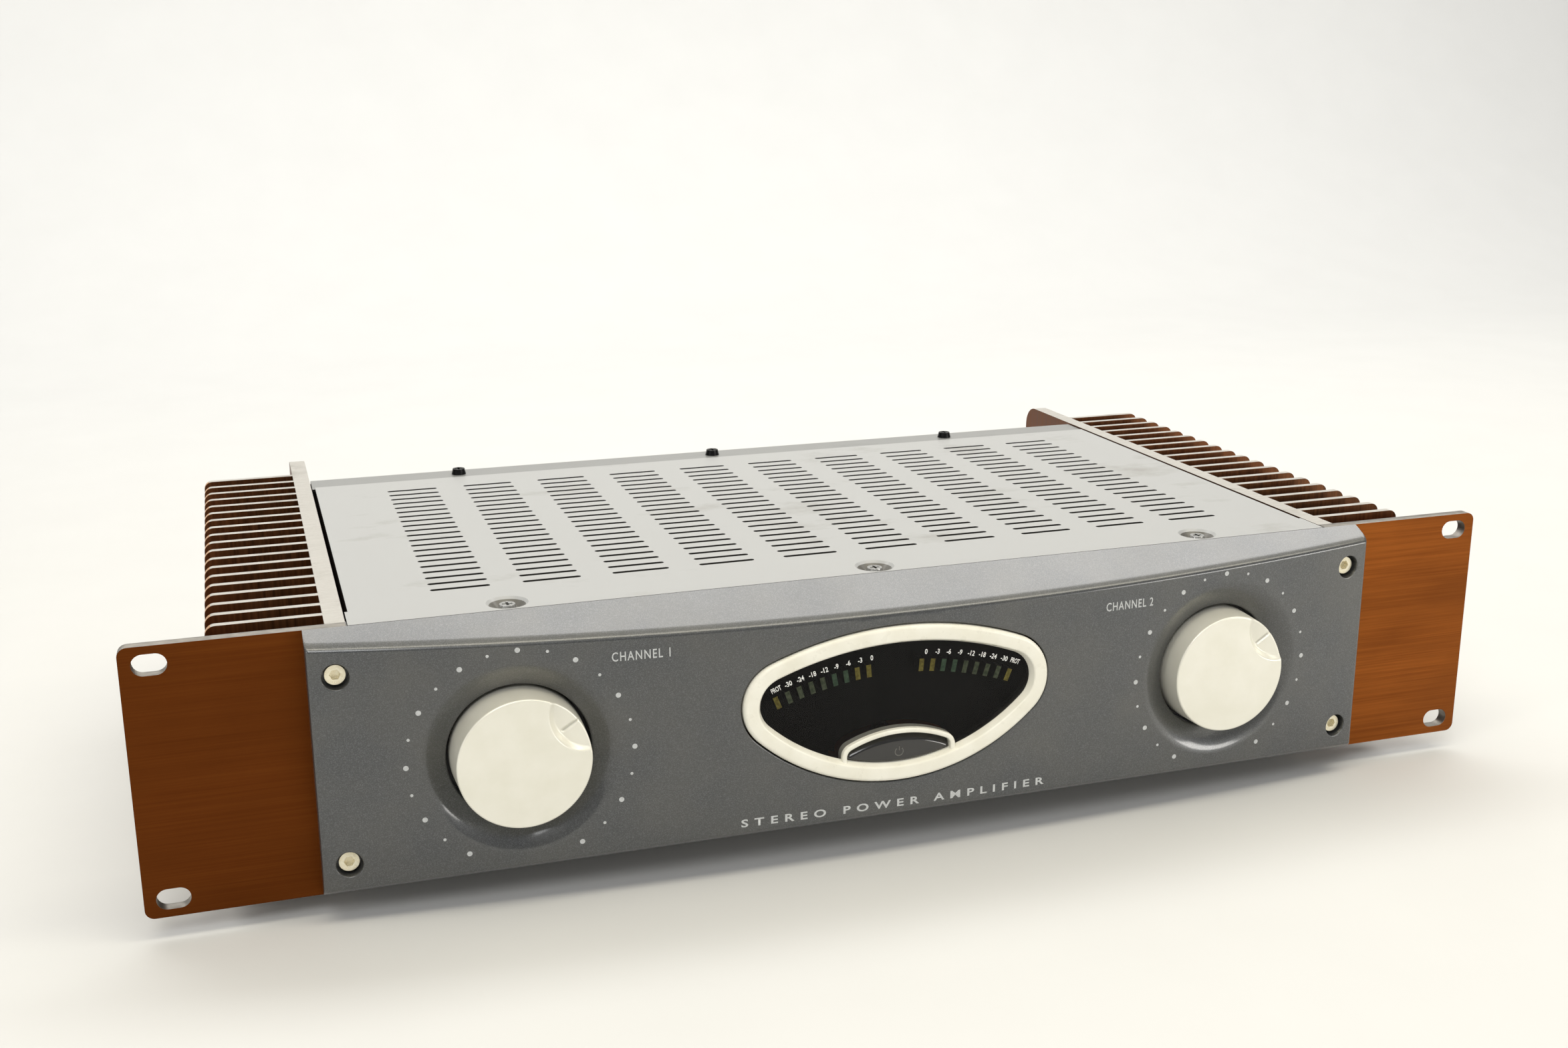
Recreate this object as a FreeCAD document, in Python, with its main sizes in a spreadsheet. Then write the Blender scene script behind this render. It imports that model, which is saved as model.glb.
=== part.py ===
import FreeCAD
import Part
import Sketcher
import math
import os
import re

# Two-unit rack-mount stereo power amplifier, in millimetres.
# Origin: centre of the rack slot pattern on the front face of the rack panel.
# +X to the right seen from the front, +Y to the back, +Z up.

DIMS = {
    # rack panel and its four slots
    "panel_w": 482.6,
    "panel_h": 88.1,
    "panel_t": 4.0,
    "panel_corner": 3.0,
    "slot_x": 232.55,
    "slot_z": 38.1,
    "slot_len": 10.3,
    "slot_w": 6.8,
    "notch_depth": 1.5,
    # moulded fascia: a shell, bowed in plan, with sloping top and bottom
    "fascia_w": 376.6,
    "fascia_end": 8.1,
    "fascia_mid": 18.8,
    "fascia_slope": 0.45,
    "fascia_wall": 2.8,
    "fascia_round": 1.4,
    # dials
    "dial_x": 125.5,
    "dial_z": -0.4,
    "dish_radius": 51.0,
    "dish_lift": 42.0,
    "well_r": 22.9,
    "well_wall": 2.2,
    "knob_face_y": -20.2,
    "knob_back_y": -4.0,
    "knob_face_r": 21.3,
    "knob_base_r": 22.0,
    "knob_wall": 2.4,
    "hub_r": 5.5,
    "shaft_r": 3.0,
    "shaft_gap": 0.05,
    "scoop_r": 15.2,
    "scoop_floor_r": 13.4,
    "scoop_reach": 28.8,
    "scoop_depth": 2.2,
    "pointer_w": 0.8,
    "pointer_left": 55.0,
    "pointer_right": 51.0,
    # fascia screws and panel screws
    "fscrew_x": 179.9,
    "fscrew_z": 30.95,
    "fscrew_head_r": 3.2,
    "fscrew_hole_r": 4.15,
    "fscrew_seat": 3.0,
    "fscrew_head": 3.5,
    "pscrew_z": 14.0,
    # display: a lens-shaped rim around a dark window, a push button at its foot
    "rim_half": 54.3,
    "rim_top": 31.0,
    "rim_bottom": -23.3,
    "rim_top_radius": 119.0,
    "rim_bottom_radius": 72.0,
    "rim_w": 6.2,
    "rim_proud": 1.3,
    "rim_lip": 2.6,
    "rim_gap": 0.5,
    "rim_shell": 3.0,
    "lens_t": 2.0,
    "bar_pitch": 4.0,
    "bar_first": 9.4,
    "bar_arc": 112.0,
    "bar_top": 15.1,
    "bar_w": 1.7,
    "bar_len": 4.4,
    "arch_half": 20.3,
    "arch_top": -5.2,
    "arch_radius": 42.0,
    "arch_corner": 4.5,
    "arch_w": 1.7,
    "button_z": -12.3,
    "button_gap": 0.35,
    "button_travel": 3.0,
    # heat sinks
    "sink_in": 175.2,
    "sink_base": 6.2,
    "sink_deep": 247.5,
    "sink_h": 87.9,
    "fin_len": 35.2,
    "fin_t": 2.6,
    "fin_pitch": 11.0,
    "fin_first": 13.4,
    "fin_count": 19,
    "fin_corner": 3.2,
    "sink_corner": 9.0,
    # sheet-metal case
    "sheet_t": 1.2,
    "cover_top": 44.0,
    "cover_half": 174.7,
    "cover_notch": 1.0,
    "notch_front": 14.4,
    "notch_back": 187.0,
    "strip_drop": 0.6,
    "case_deep": 202.0,
    "vent_len": 19.6,
    "vent_w": 2.0,
    "vent_pitch_x": 30.36,
    "vent_pitch_y": 7.06,
    "vent_first": 28.7,
    "vent_columns": 10,
    "vent_rows": 21,
    "dimple_shift": 0.9,
    "dimple_y": 8.0,
    "dimple_r": 6.6,
    "dimple_seat_r": 4.2,
    "dimple_depth": 2.4,
    "rear_screw_x": 111.0,
    "rear_screw_shift": -3.5,
    "rear_screw_y": 195.0,
    "case_half": 175.1,
    "floor_z": -44.0,
    # feet
    "foot_x": 150.0,
    "foot_front": 32.0,
    "foot_back": 178.0,
    "foot_h": 8.0,
    "foot_r": 10.0,
    # inside
    "board_z": -36.0,
    "board_t": 1.6,
    "coil_y": 92.0,
    "coil_out": 54.0,
    "coil_in": 18.0,
    "coil_h": 48.0,
    "coil_round": 12.0,
    # rear connectors
    "inlet_x": -135.0,
    "inlet_z": 2.0,
    "post_z": 14.0,
    "jack_z": -22.0,
    "xlr_z": 14.0,
    "mode_x": 5.0,
    "mode_z": 10.0,
}

V = FreeCAD.Vector
doc = FreeCAD.newDocument("power_amplifier")
SUB_PARTS = []
TURNS = {
    "X": FreeCAD.Rotation(V(0, 1, 0), 90),
    "Y": FreeCAD.Rotation(V(1, 0, 0), -90),
    "Z": FreeCAD.Rotation(),
}


def make_sheet():
    """Spreadsheet of the driving dimensions, one alias to a cell."""
    sheet = doc.addObject("Spreadsheet::Sheet", "dims")
    for row, (alias, value) in enumerate(DIMS.items(), start=1):
        sheet.set(f"A{row}", alias)
        sheet.set(f"B{row}", str(value))
        sheet.setAlias(f"B{row}", alias)
    doc.recompute()
    return sheet


sheet = make_sheet()


def cell(alias):
    """The number in the sheet's cell of that alias."""
    return float(getattr(sheet, alias))


def bound(expression):
    """An expression with each alias written as a reference to the sheet."""
    return re.sub(
        r"[a-z]+(_[a-z]+)*",
        lambda word: "dims." + word.group(0) if word.group(0) in DIMS else word.group(0),
        str(expression),
    )


def bind(obj, **cells):
    for name, expression in cells.items():
        obj.setExpression(name, bound(expression))
    return obj


def place(obj, at, axis="Z"):
    """Puts obj's own origin at a point, with its length along an axis."""
    obj.Placement = FreeCAD.Placement(V(), TURNS[axis])
    for name, expression in zip("xyz", at):
        obj.setExpression("Placement.Base." + name, bound(expression))
    return obj


def box(low, size):
    obj = doc.addObject("Part::Box", "box")
    bind(obj, Length=size[0], Width=size[1], Height=size[2])
    return place(obj, low)


def span(x, y, z):
    """A box from pairs of limits along each axis."""
    size = [f"({high}) - ({low})" for low, high in (x, y, z)]
    return box((x[0], y[0], z[0]), size)


def cyl(at, axis, r, length):
    obj = doc.addObject("Part::Cylinder", "cylinder")
    bind(obj, Radius=r, Height=length)
    return place(obj, at, axis)


def cone(at, axis, r_low, r_high, length):
    obj = doc.addObject("Part::Cone", "cone")
    bind(obj, Radius1=r_low, Radius2=r_high, Height=length)
    return place(obj, at, axis)


def hexagon(at, axis, r, length):
    obj = doc.addObject("Part::Prism", "hexagon")
    obj.Polygon = 6
    bind(obj, Circumradius=r, Height=length)
    return place(obj, at, axis)


def fuse(*parts):
    if len(parts) == 1:
        return parts[0]
    obj = doc.addObject("Part::MultiFuse", "fuse")
    obj.Shapes = list(parts)
    return obj


def cut(base, *tools):
    obj = doc.addObject("Part::Cut", "cut")
    obj.Base = base
    obj.Tool = fuse(*tools)
    return obj


def common(first, second):
    obj = doc.addObject("Part::Common", "common")
    obj.Base = first
    obj.Tool = second
    return obj


def group(*parts):
    obj = doc.addObject("Part::Compound", "group")
    obj.Links = list(parts)
    return obj


def rounded(base, radius, wanted):
    """Part::Fillet on the edges of base for which wanted(edge) is true."""
    doc.recompute()
    edges = [
        (number, cell(radius), cell(radius))
        for number, edge in enumerate(base.Shape.Edges, start=1)
        if wanted(edge)
    ]
    obj = doc.addObject("Part::Fillet", "rounded")
    obj.Base = base
    obj.Edges = edges
    return obj


def sub_part(obj, label):
    """Names a finished piece; the label is its node and file name."""
    obj.Label = label
    SUB_PARTS.append(obj)
    return obj


# ---- PartDesign helpers --------------------------------------------------


def sketch(part, plane, at=(0, 0, 0)):
    """A sketch on one of the body's origin planes, shifted by at in the plane's own axes."""
    made = part.newObject("Sketcher::SketchObject", "sketch")
    base = [o for o in part.Origin.OriginFeatures if o.Role == plane][0]
    made.AttachmentSupport = (base, [""])
    made.MapMode = "FlatFace"
    for name, expression in zip("xyz", at):
        made.setExpression("AttachmentOffset.Base." + name, bound(expression))
    return made


def draw(made, points):
    """A closed outline of straight lines."""
    for here, there in zip(points, points[1:] + points[:1]):
        made.addGeometry(Part.LineSegment(V(*here, 0), V(*there, 0)), False)


def draw_rectangle(made, width, height):
    """A rectangle about the sketch's origin, its sides held by the sheet."""
    corners = [V(-10, -5, 0), V(10, -5, 0), V(10, 5, 0), V(-10, 5, 0)]
    for number in range(4):
        line = Part.LineSegment(corners[number], corners[(number + 1) % 4])
        made.addGeometry(line, False)
    for number in range(4):
        made.addConstraint(
            Sketcher.Constraint("Coincident", number, 2, (number + 1) % 4, 1)
        )
    for number, kind in enumerate(("Horizontal", "Vertical", "Horizontal", "Vertical")):
        made.addConstraint(Sketcher.Constraint(kind, number))
    made.addConstraint(Sketcher.Constraint("Symmetric", 0, 1, 2, 1, -1, 1))
    made.addConstraint(Sketcher.Constraint("DistanceX", 0, 1, 0, 2, 20.0))
    made.setExpression("Constraints[9]", bound(width))
    made.addConstraint(Sketcher.Constraint("DistanceY", 1, 1, 1, 2, 10.0))
    made.setExpression("Constraints[10]", bound(height))


def draw_circle(made, radius):
    made.addGeometry(Part.Circle(V(0, 0, 0), V(0, 0, 1), 3.0), False)
    made.addConstraint(Sketcher.Constraint("Coincident", 0, 3, -1, 1))
    made.addConstraint(Sketcher.Constraint("Radius", 0, 3.0))
    made.setExpression("Constraints[1]", bound(radius))


def pad(part, profile, length, backwards=False):
    made = part.newObject("PartDesign::Pad", "pad")
    made.Profile = profile
    made.Reversed = backwards
    bind(made, Length=length)
    return made


def pocket(part, profile):
    """Cuts the profile right through, both ways."""
    made = part.newObject("PartDesign::Pocket", "pocket")
    made.Profile = profile
    made.Type = 1
    made.Midplane = True
    return made


def new_body(name):
    return doc.addObject("PartDesign::Body", name)


# ---- rack panel ----------------------------------------------------------


def rack_slot(x_sign, z_sign):
    """One rack slot with round ends, run along X."""
    straight = "(slot_len - slot_w)"
    middle = (f"{x_sign} * slot_x", f"{z_sign} * slot_z")
    web = box(
        (f"{middle[0]} - {straight} / 2", -1, f"{middle[1]} - slot_w / 2"),
        (straight, "panel_t + 2", "slot_w"),
    )
    ends = [
        cyl(
            (f"{middle[0]} + {end} * {straight} / 2", -1, middle[1]),
            "Y",
            "slot_w / 2",
            "panel_t + 2",
        )
        for end in (-1, 1)
    ]
    return fuse(web, *ends)


def rack_panel():
    part = new_body("plate")
    outline = sketch(part, "XZ_Plane")
    draw_rectangle(outline, "panel_w", "panel_h")
    pad(part, outline, "panel_t", backwards=True)
    half = cell("panel_w") / 2
    plate = rounded(
        part,
        "panel_corner",
        lambda e: abs(abs(e.CenterOfMass.x) - half) < 0.01
        and abs(e.BoundBox.YLength - cell("panel_t")) < 0.01,
    )
    slots = [rack_slot(x, z) for x in (-1, 1) for z in (-1, 1)]
    cover_rest = span(
        ("-sink_in", "sink_in"), (-1, "panel_t + 1"), ("panel_h / 2 - notch_depth", 50)
    )
    dimple_rest = [
        span(
            (f"{i} * dial_x - 9.5", f"{i} * dial_x + 9.5"),
            (-1, "panel_t + 1"),
            (40.3, 50),
        )
        for i in (-1, 0, 1)
    ]
    window = span((-42, 42), (-1, "panel_t + 1"), (-2, 20))
    stem_hole = cyl((0, -1, "button_z"), "Y", 3.4, "panel_t + 2")
    holes = [
        cyl((f"{i} * dial_x", -1, "dial_z"), "Y", 4.7, "panel_t + 2") for i in (-1, 1)
    ]
    holes += [
        cyl((f"{i} * fscrew_x", -1, f"{k} * fscrew_z"), "Y", 2.05, "panel_t + 2")
        for i in (-1, 1)
        for k in (-1, 1)
    ]
    for x in ("-sink_in - sink_base / 2", "sink_in + sink_base / 2"):
        for k in (-1, 1):
            at = (x, 0, f"{k} * pscrew_z")
            holes.append(cyl((x, -1, f"{k} * pscrew_z"), "Y", 2.1, "panel_t + 2"))
            holes.append(cone(at, "Y", 4.25, 2.05, 2.3))
    sub_part(
        cut(plate, *slots, cover_rest, *dimple_rest, window, stem_hole, *holes),
        "rack_panel",
    )


def panel_screws():
    """Countersunk screws that hold the panel to the ends of the heat-sink plates."""
    made = []
    for x in ("-sink_in - sink_base / 2", "sink_in + sink_base / 2"):
        for k in (-1, 1):
            z = f"{k} * pscrew_z"
            head = cone((x, 0.05, z), "Y", 4.15, 2.0, 2.15)
            shank = cyl((x, 0.05, z), "Y", 2.0, 13.5)
            socket = hexagon((x, -0.1, z), "Y", 1.4, 1.6)
            made.append(cut(fuse(head, shank), socket))
    sub_part(group(*made), "panel_screws")


# ---- fascia --------------------------------------------------------------


def plan_block(inset, height="panel_h"):
    """The fascia's plan, an arc between two short sides, drawn inset from the outside."""
    part = new_body("plan")
    half = cell("fascia_w") / 2 - max(inset, 0)
    end = cell("fascia_end") - inset
    middle = cell("fascia_mid") - inset
    made = sketch(part, "XY_Plane", (0, 0, f"-({height}) / 2"))
    made.addGeometry(Part.LineSegment(V(-half, 0, 0), V(half, 0, 0)), False)
    made.addGeometry(Part.LineSegment(V(half, 0, 0), V(half, -end, 0)), False)
    bow = Part.Arc(V(-half, -end, 0), V(0, -middle, 0), V(half, -end, 0))
    made.addGeometry(bow, False)
    made.addGeometry(Part.LineSegment(V(-half, -end, 0), V(-half, 0, 0)), False)
    pad(part, made, height)
    return part


def slopes(inset):
    """The wedge between the fascia's sloping top and bottom faces."""
    obj = doc.addObject("Part::Wedge", "wedge")
    reach = 30
    for low, high, value in (
        ("Xmin", "Xmax", "fascia_w / 2 + 5"),
        ("X2min", "X2max", "fascia_w / 2 + 5"),
        ("Zmin", "Zmax", f"panel_h / 2 - {inset} - fascia_slope * {reach}"),
        ("Z2min", "Z2max", f"panel_h / 2 - {inset}"),
    ):
        obj.setExpression(low, bound(f"-({value})"))
        obj.setExpression(high, bound(value))
    obj.Ymin = -reach
    obj.Ymax = 0
    return obj


def fascia_block(inset):
    return common(plan_block(inset), slopes(inset))


def front_edge(edge):
    """True for the ridges and the upright corners of the fascia's front."""
    middle = edge.CenterOfMass
    upright = edge.BoundBox.ZLength > 50 and middle.y < -1
    ridge = edge.BoundBox.XLength > 100 and middle.y < -cell("fascia_end")
    return upright or ridge


def dial_face():
    """Depth of the fascia's face at a dial's centre, and how much it leans there."""
    rise = cell("fascia_mid") - cell("fascia_end")
    half = cell("fascia_w") / 2
    radius = (half**2 + rise**2) / (2 * rise)
    drop = radius - math.sqrt(radius**2 - cell("dial_x") ** 2)
    return cell("fascia_mid") - drop, math.asin(cell("dial_x") / radius)


def dish(side):
    """Ball that hollows the fascia round a knob, centred on the face's own normal."""
    depth, lean = dial_face()
    obj = doc.addObject("Part::Sphere", "dish")
    bind(obj, Radius="dish_radius")
    at = (
        f"{side} * (dial_x + dish_lift * {math.sin(lean)})",
        f"-{depth} - dish_lift * {math.cos(lean)}",
        "dial_z",
    )
    return place(obj, at)


def lens_corner():
    """Radius and centre of the arcs that join the rim's top and bottom arcs."""
    top, bottom = cell("rim_top_radius"), cell("rim_bottom_radius")
    top_z = cell("rim_top") - top
    bottom_z = cell("rim_bottom") + bottom
    low, high = 1.0, 30.0
    for _ in range(60):
        r = (low + high) / 2
        x = cell("rim_half") - r
        from_top = top_z + math.sqrt((top - r) ** 2 - x**2)
        from_bottom = bottom_z - math.sqrt((bottom - r) ** 2 - x**2)
        if from_top > from_bottom:
            low = r
        else:
            high = r
    return r, x, from_top, top_z, bottom_z


def arc(x, z, r, start, end):
    return Part.ArcOfCircle(Part.Circle(V(x, z, 0), V(0, 0, 1), r), start, end)


def lens_prism(inset, front=30.0, back=0.0):
    """Prism of the rim's outline, inset all round, from Y = -front to Y = -back."""
    r, x, z, top_z, bottom_z = lens_corner()
    up = math.atan2(z - top_z, x)
    down = math.atan2(z - bottom_z, x)
    part = new_body("lens")
    made = sketch(part, "XZ_Plane", (0, 0, back))
    turn = 2 * math.pi
    made.addGeometry(
        arc(0, top_z, cell("rim_top_radius") - inset, up, math.pi - up), False
    )
    made.addGeometry(arc(-x, z, r - inset, math.pi - up, math.pi - down), False)
    made.addGeometry(
        arc(0, bottom_z, cell("rim_bottom_radius") - inset, math.pi - down, turn + down),
        False,
    )
    made.addGeometry(arc(x, z, r - inset, down, up), False)
    pad(part, made, front - back)
    return part


def fascia():
    shell = cut(
        rounded(fascia_block(0), "fascia_round", front_edge),
        fascia_block(cell("fascia_wall")),
    )
    bosses = [
        cyl((f"{i} * dial_x", -30, "dial_z"), "Y", "well_r + 9", 26) for i in (-1, 1)
    ]
    bosses += [
        cyl((f"{i} * dial_x", -30, "dial_z"), "Y", "well_r + well_wall", 29)
        for i in (-1, 1)
    ]
    bosses += [
        cyl((f"{i} * fscrew_x", -30, f"{k} * fscrew_z"), "Y", 7, 30)
        for i in (-1, 1)
        for k in (-1, 1)
    ]
    thick = common(fuse(*bosses), fascia_block(0.6))
    tools = [dish(-1), dish(1), lens_prism(-cell("rim_gap"))]
    tools += [
        cyl((f"{i} * dial_x", -30, "dial_z"), "Y", "well_r", 31) for i in (-1, 1)
    ]
    for i in (-1, 1):
        for k in (-1, 1):
            x, z = f"{i} * fscrew_x", f"{k} * fscrew_z"
            tools.append(cyl((x, -30, z), "Y", "fscrew_hole_r", "30 - fscrew_seat"))
            tools.append(cyl((x, -30, z), "Y", 2.2, 31))
    sub_part(cut(fuse(shell, thick), *tools), "fascia")


def fascia_screws():
    """Socket-head screws at the fascia's corners."""
    made = []
    for i in (-1, 1):
        for k in (-1, 1):
            x, z = f"{i} * fscrew_x", f"{k} * fscrew_z"
            head = cyl(
                (x, "-fscrew_seat - fscrew_head", z), "Y", "fscrew_head_r", "fscrew_head"
            )
            shank = cyl((x, "-fscrew_seat", z), "Y", 2.0, "fscrew_seat + 3.9")
            socket = hexagon(
                (x, "-fscrew_seat - fscrew_head - 0.1", z), "Y", 1.75, 2.1
            )
            made.append(cut(fuse(head, shank), socket))
    sub_part(group(*made), "fascia_screws")


# ---- display and power button ---------------------------------------------


def arch_block(grow, front=30.0, low=-40.0):
    """Prism of the button arch: upright sides under a shallow arc, corners rounded."""
    half = cell("arch_half") + grow
    top = cell("arch_top") + grow
    radius = cell("arch_radius") + grow
    corner = cell("arch_corner") + grow
    top_z = top - radius
    x = half - corner
    z = top_z + math.sqrt((radius - corner) ** 2 - x**2)
    up = math.atan2(z - top_z, x)
    part = new_body("arch")
    made = sketch(part, "XZ_Plane")
    made.addGeometry(arc(0, top_z, radius, up, math.pi - up), False)
    made.addGeometry(arc(-x, z, corner, math.pi - up, math.pi), False)
    made.addGeometry(Part.LineSegment(V(-half, z, 0), V(-half, low, 0)), False)
    made.addGeometry(Part.LineSegment(V(-half, low, 0), V(half, low, 0)), False)
    made.addGeometry(Part.LineSegment(V(half, low, 0), V(half, z, 0)), False)
    made.addGeometry(arc(x, z, corner, 0, up), False)
    pad(part, made, front)
    return part


def outer_rim_edge(edge):
    return edge.CenterOfMass.y < -cell("fascia_end") - 2 and edge.Length > 8


def display_bezel():
    solid = common(lens_prism(0), plan_block(-cell("rim_proud")))
    soft = doc.addObject("Part::Fillet", "soft")
    doc.recompute()
    soft.Base = solid
    soft.Edges = [
        (number, 1.2, 1.2)
        for number, edge in enumerate(solid.Shape.Edges, start=1)
        if outer_rim_edge(edge)
    ]
    depth = cell("rim_lip") - cell("rim_proud")
    hollow = common(lens_prism(cell("rim_shell")), plan_block(depth))
    sub_part(cut(soft, lens_prism(cell("rim_w")), hollow), "display_bezel")


def display_lens():
    depth = cell("rim_lip") - cell("rim_proud") + 0.05
    inset = cell("rim_shell") + 0.1
    front = common(lens_prism(inset), plan_block(depth))
    tools = [plan_block(depth + cell("lens_t")), arch_block(0.1)]
    sub_part(cut(front, *tools), "display_lens")


def button_bezel():
    """The thin arch round the power button, standing on the rim's inner edge."""
    inside = common(arch_block(0), lens_prism(cell("rim_w") + 0.05))
    ring = cut(inside, arch_block(-cell("arch_w")))
    sub_part(common(ring, plan_block(-0.4)), "button_bezel")


def power_button():
    """The cap between the arch and the rim, with a raised power sign, and its stem."""
    grow = -cell("arch_w") - cell("button_gap")
    inset = cell("rim_w") + cell("button_gap")
    cap = common(common(arch_block(grow), lens_prism(inset)), plan_block(0.2))
    cap = cut(cap, plan_block(6.5))
    stem = cyl((0, -14, "button_z"), "Y", 2.4, 27.5)
    face = -cell("fascia_mid") + 0.2
    ring = cut(
        cyl((0, face - 0.3, "button_z"), "Y", 2.3, 1.0),
        cyl((0, face - 1.0, "button_z"), "Y", 1.9, 3.0),
        span((-0.7, 0.7), (face - 1, face + 2), ("button_z + 1", "button_z + 4")),
    )
    bar = span(
        (-0.2, 0.2), (face - 0.3, face + 0.7), ("button_z + 0.9", "button_z + 3.1")
    )
    sub_part(fuse(cap, stem, ring, bar), "power_button")


def power_switch():
    case = span((-9, 9), ("panel_t + 0.1", 30), ("button_z - 7", "button_z + 7"))
    bore = cyl((0, 0, "button_z"), "Y", 2.9, 18)
    tags = [
        box((x, 30, "button_z - 2"), (0.8, 6, 4)) for x in (-6.4, -0.4, 5.6)
    ]
    sub_part(fuse(cut(case, bore), *tags), "power_switch")


def meter_board():
    plate = lens_prism(cell("rim_shell") + 0.1, front=9.6, back=8.0)
    room = span((-22, 22), (-12, -5), (-40, -2))
    plugs = [span((x - 8, x + 8), (-8.0, 1.0), (6, 12)) for x in (-28, 28)]
    sub_part(fuse(cut(plate, room), *plugs), "meter_board")


def meter_leds():
    """Nine bar lights a side, turned to follow a shallow arc."""
    made = []
    for side in (-1, 1):
        for number in range(9):
            x = side * (cell("bar_first") + number * cell("bar_pitch"))
            z = cell("bar_top") - x**2 / (2 * cell("bar_arc"))
            lean = math.degrees(math.asin(x / cell("bar_arc")))
            bar = doc.addObject("Part::Box", "bar")
            bind(bar, Length="bar_w", Width=4.6, Height="bar_len")
            turn = FreeCAD.Rotation(V(0, 1, 0), lean)
            corner = turn.multVec(V(-cell("bar_w") / 2, 0, -cell("bar_len") / 2))
            bar.Placement = FreeCAD.Placement(V(x, -14.2, z) + corner, turn)
            made.append(bar)
    sub_part(group(*made), "meter_leds")


# ---- knobs and potentiometers ----------------------------------------------


def knob(side, pointer, label):
    """A turned cup with a hub, a thumb scoop at its rim and a V groove in the scoop."""
    part = new_body("turned")
    profile = sketch(part, "XY_Plane", (f"{side} * dial_x", 0, "dial_z"))
    face, back = cell("knob_face_y"), cell("knob_back_y")
    face_r, base_r = cell("knob_face_r"), cell("knob_base_r")
    wall, hub = cell("knob_wall"), cell("hub_r")
    soft = 0.7
    draw(
        profile,
        [
            (0, face),
            (face_r - soft, face),
            (face_r - 0.2, face + 0.22),
            (face_r, face + soft),
            (base_r, back),
            (base_r - wall, back),
            (face_r - wall, face + wall + 1.4),
            (hub, face + wall + 1.4),
            (hub, back - 0.6),
            (cell("shaft_r"), back - 0.6),
            (cell("shaft_r"), back - 12.0),
            (0, back - 12.0),
        ],
    )
    turned = part.newObject("PartDesign::Revolution", "turned")
    turned.Profile = profile
    turned.ReferenceAxis = (profile, ["V_Axis"])
    turned.Angle = 360
    away = f"{side} * dial_x + scoop_reach * sin({pointer})"
    up = f"dial_z + scoop_reach * cos({pointer})"
    scoop = cone(
        (away, "knob_face_y - 0.01", up),
        "Y",
        "scoop_r",
        "scoop_floor_r",
        "scoop_depth",
    )
    groove = doc.addObject("Part::Box", "pointer")
    bind(groove, Length="pointer_w", Width="pointer_w", Height=8)
    turn = FreeCAD.Rotation(V(0, 1, 0), cell(pointer))
    diagonal = turn.multiply(FreeCAD.Rotation(V(0, 0, 1), 45))
    half = cell("pointer_w") / 2
    centre = V(side * cell("dial_x"), face + cell("scoop_depth"), cell("dial_z"))
    corner = turn.multVec(V(0, 0, 15.2)) + diagonal.multVec(V(-half, -half, 0))
    groove.Placement = FreeCAD.Placement(centre + corner, diagonal)
    sub_part(cut(part, scoop, groove), label)


def pot_shaft(side, label):
    rod = cyl((f"{side} * dial_x", "knob_back_y - 12", "dial_z"), "Y", "shaft_r", 25.0)
    sub_part(rod, label)


def pot_body(side, label):
    x = f"{side} * dial_x"
    can = span(
        (f"{x} - 8.5", f"{x} + 8.5"), ("panel_t", "panel_t + 10"), ("dial_z - 8.5", "dial_z + 8.5")
    )
    neck = cyl((x, -3, "dial_z"), "Y", 4.5, "panel_t + 4")
    bore = cyl((x, -4, "dial_z"), "Y", "shaft_r + shaft_gap", 13.4)
    sub_part(cut(fuse(can, neck), bore), label)


def nut(x, y, z):
    """A thin hexagon nut for a 9 mm bushing, its back face at y."""
    return cut(hexagon((x, y, z), "Y", 7.0, 2.3), cyl((x, f"{y} - 1", z), "Y", 4.65, 5))


def bushing_nuts():
    """Nuts on the two control bushings and the four jack noses."""
    made = [nut(f"{side} * dial_x", -2.35, "dial_z") for side in (-1, 1)]
    made += [nut(x, REAR, "jack_z") for x in OUT_JACKS + IN_JACKS]
    sub_part(group(*made), "bushing_nuts")


# ---- heat sinks ------------------------------------------------------------


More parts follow.
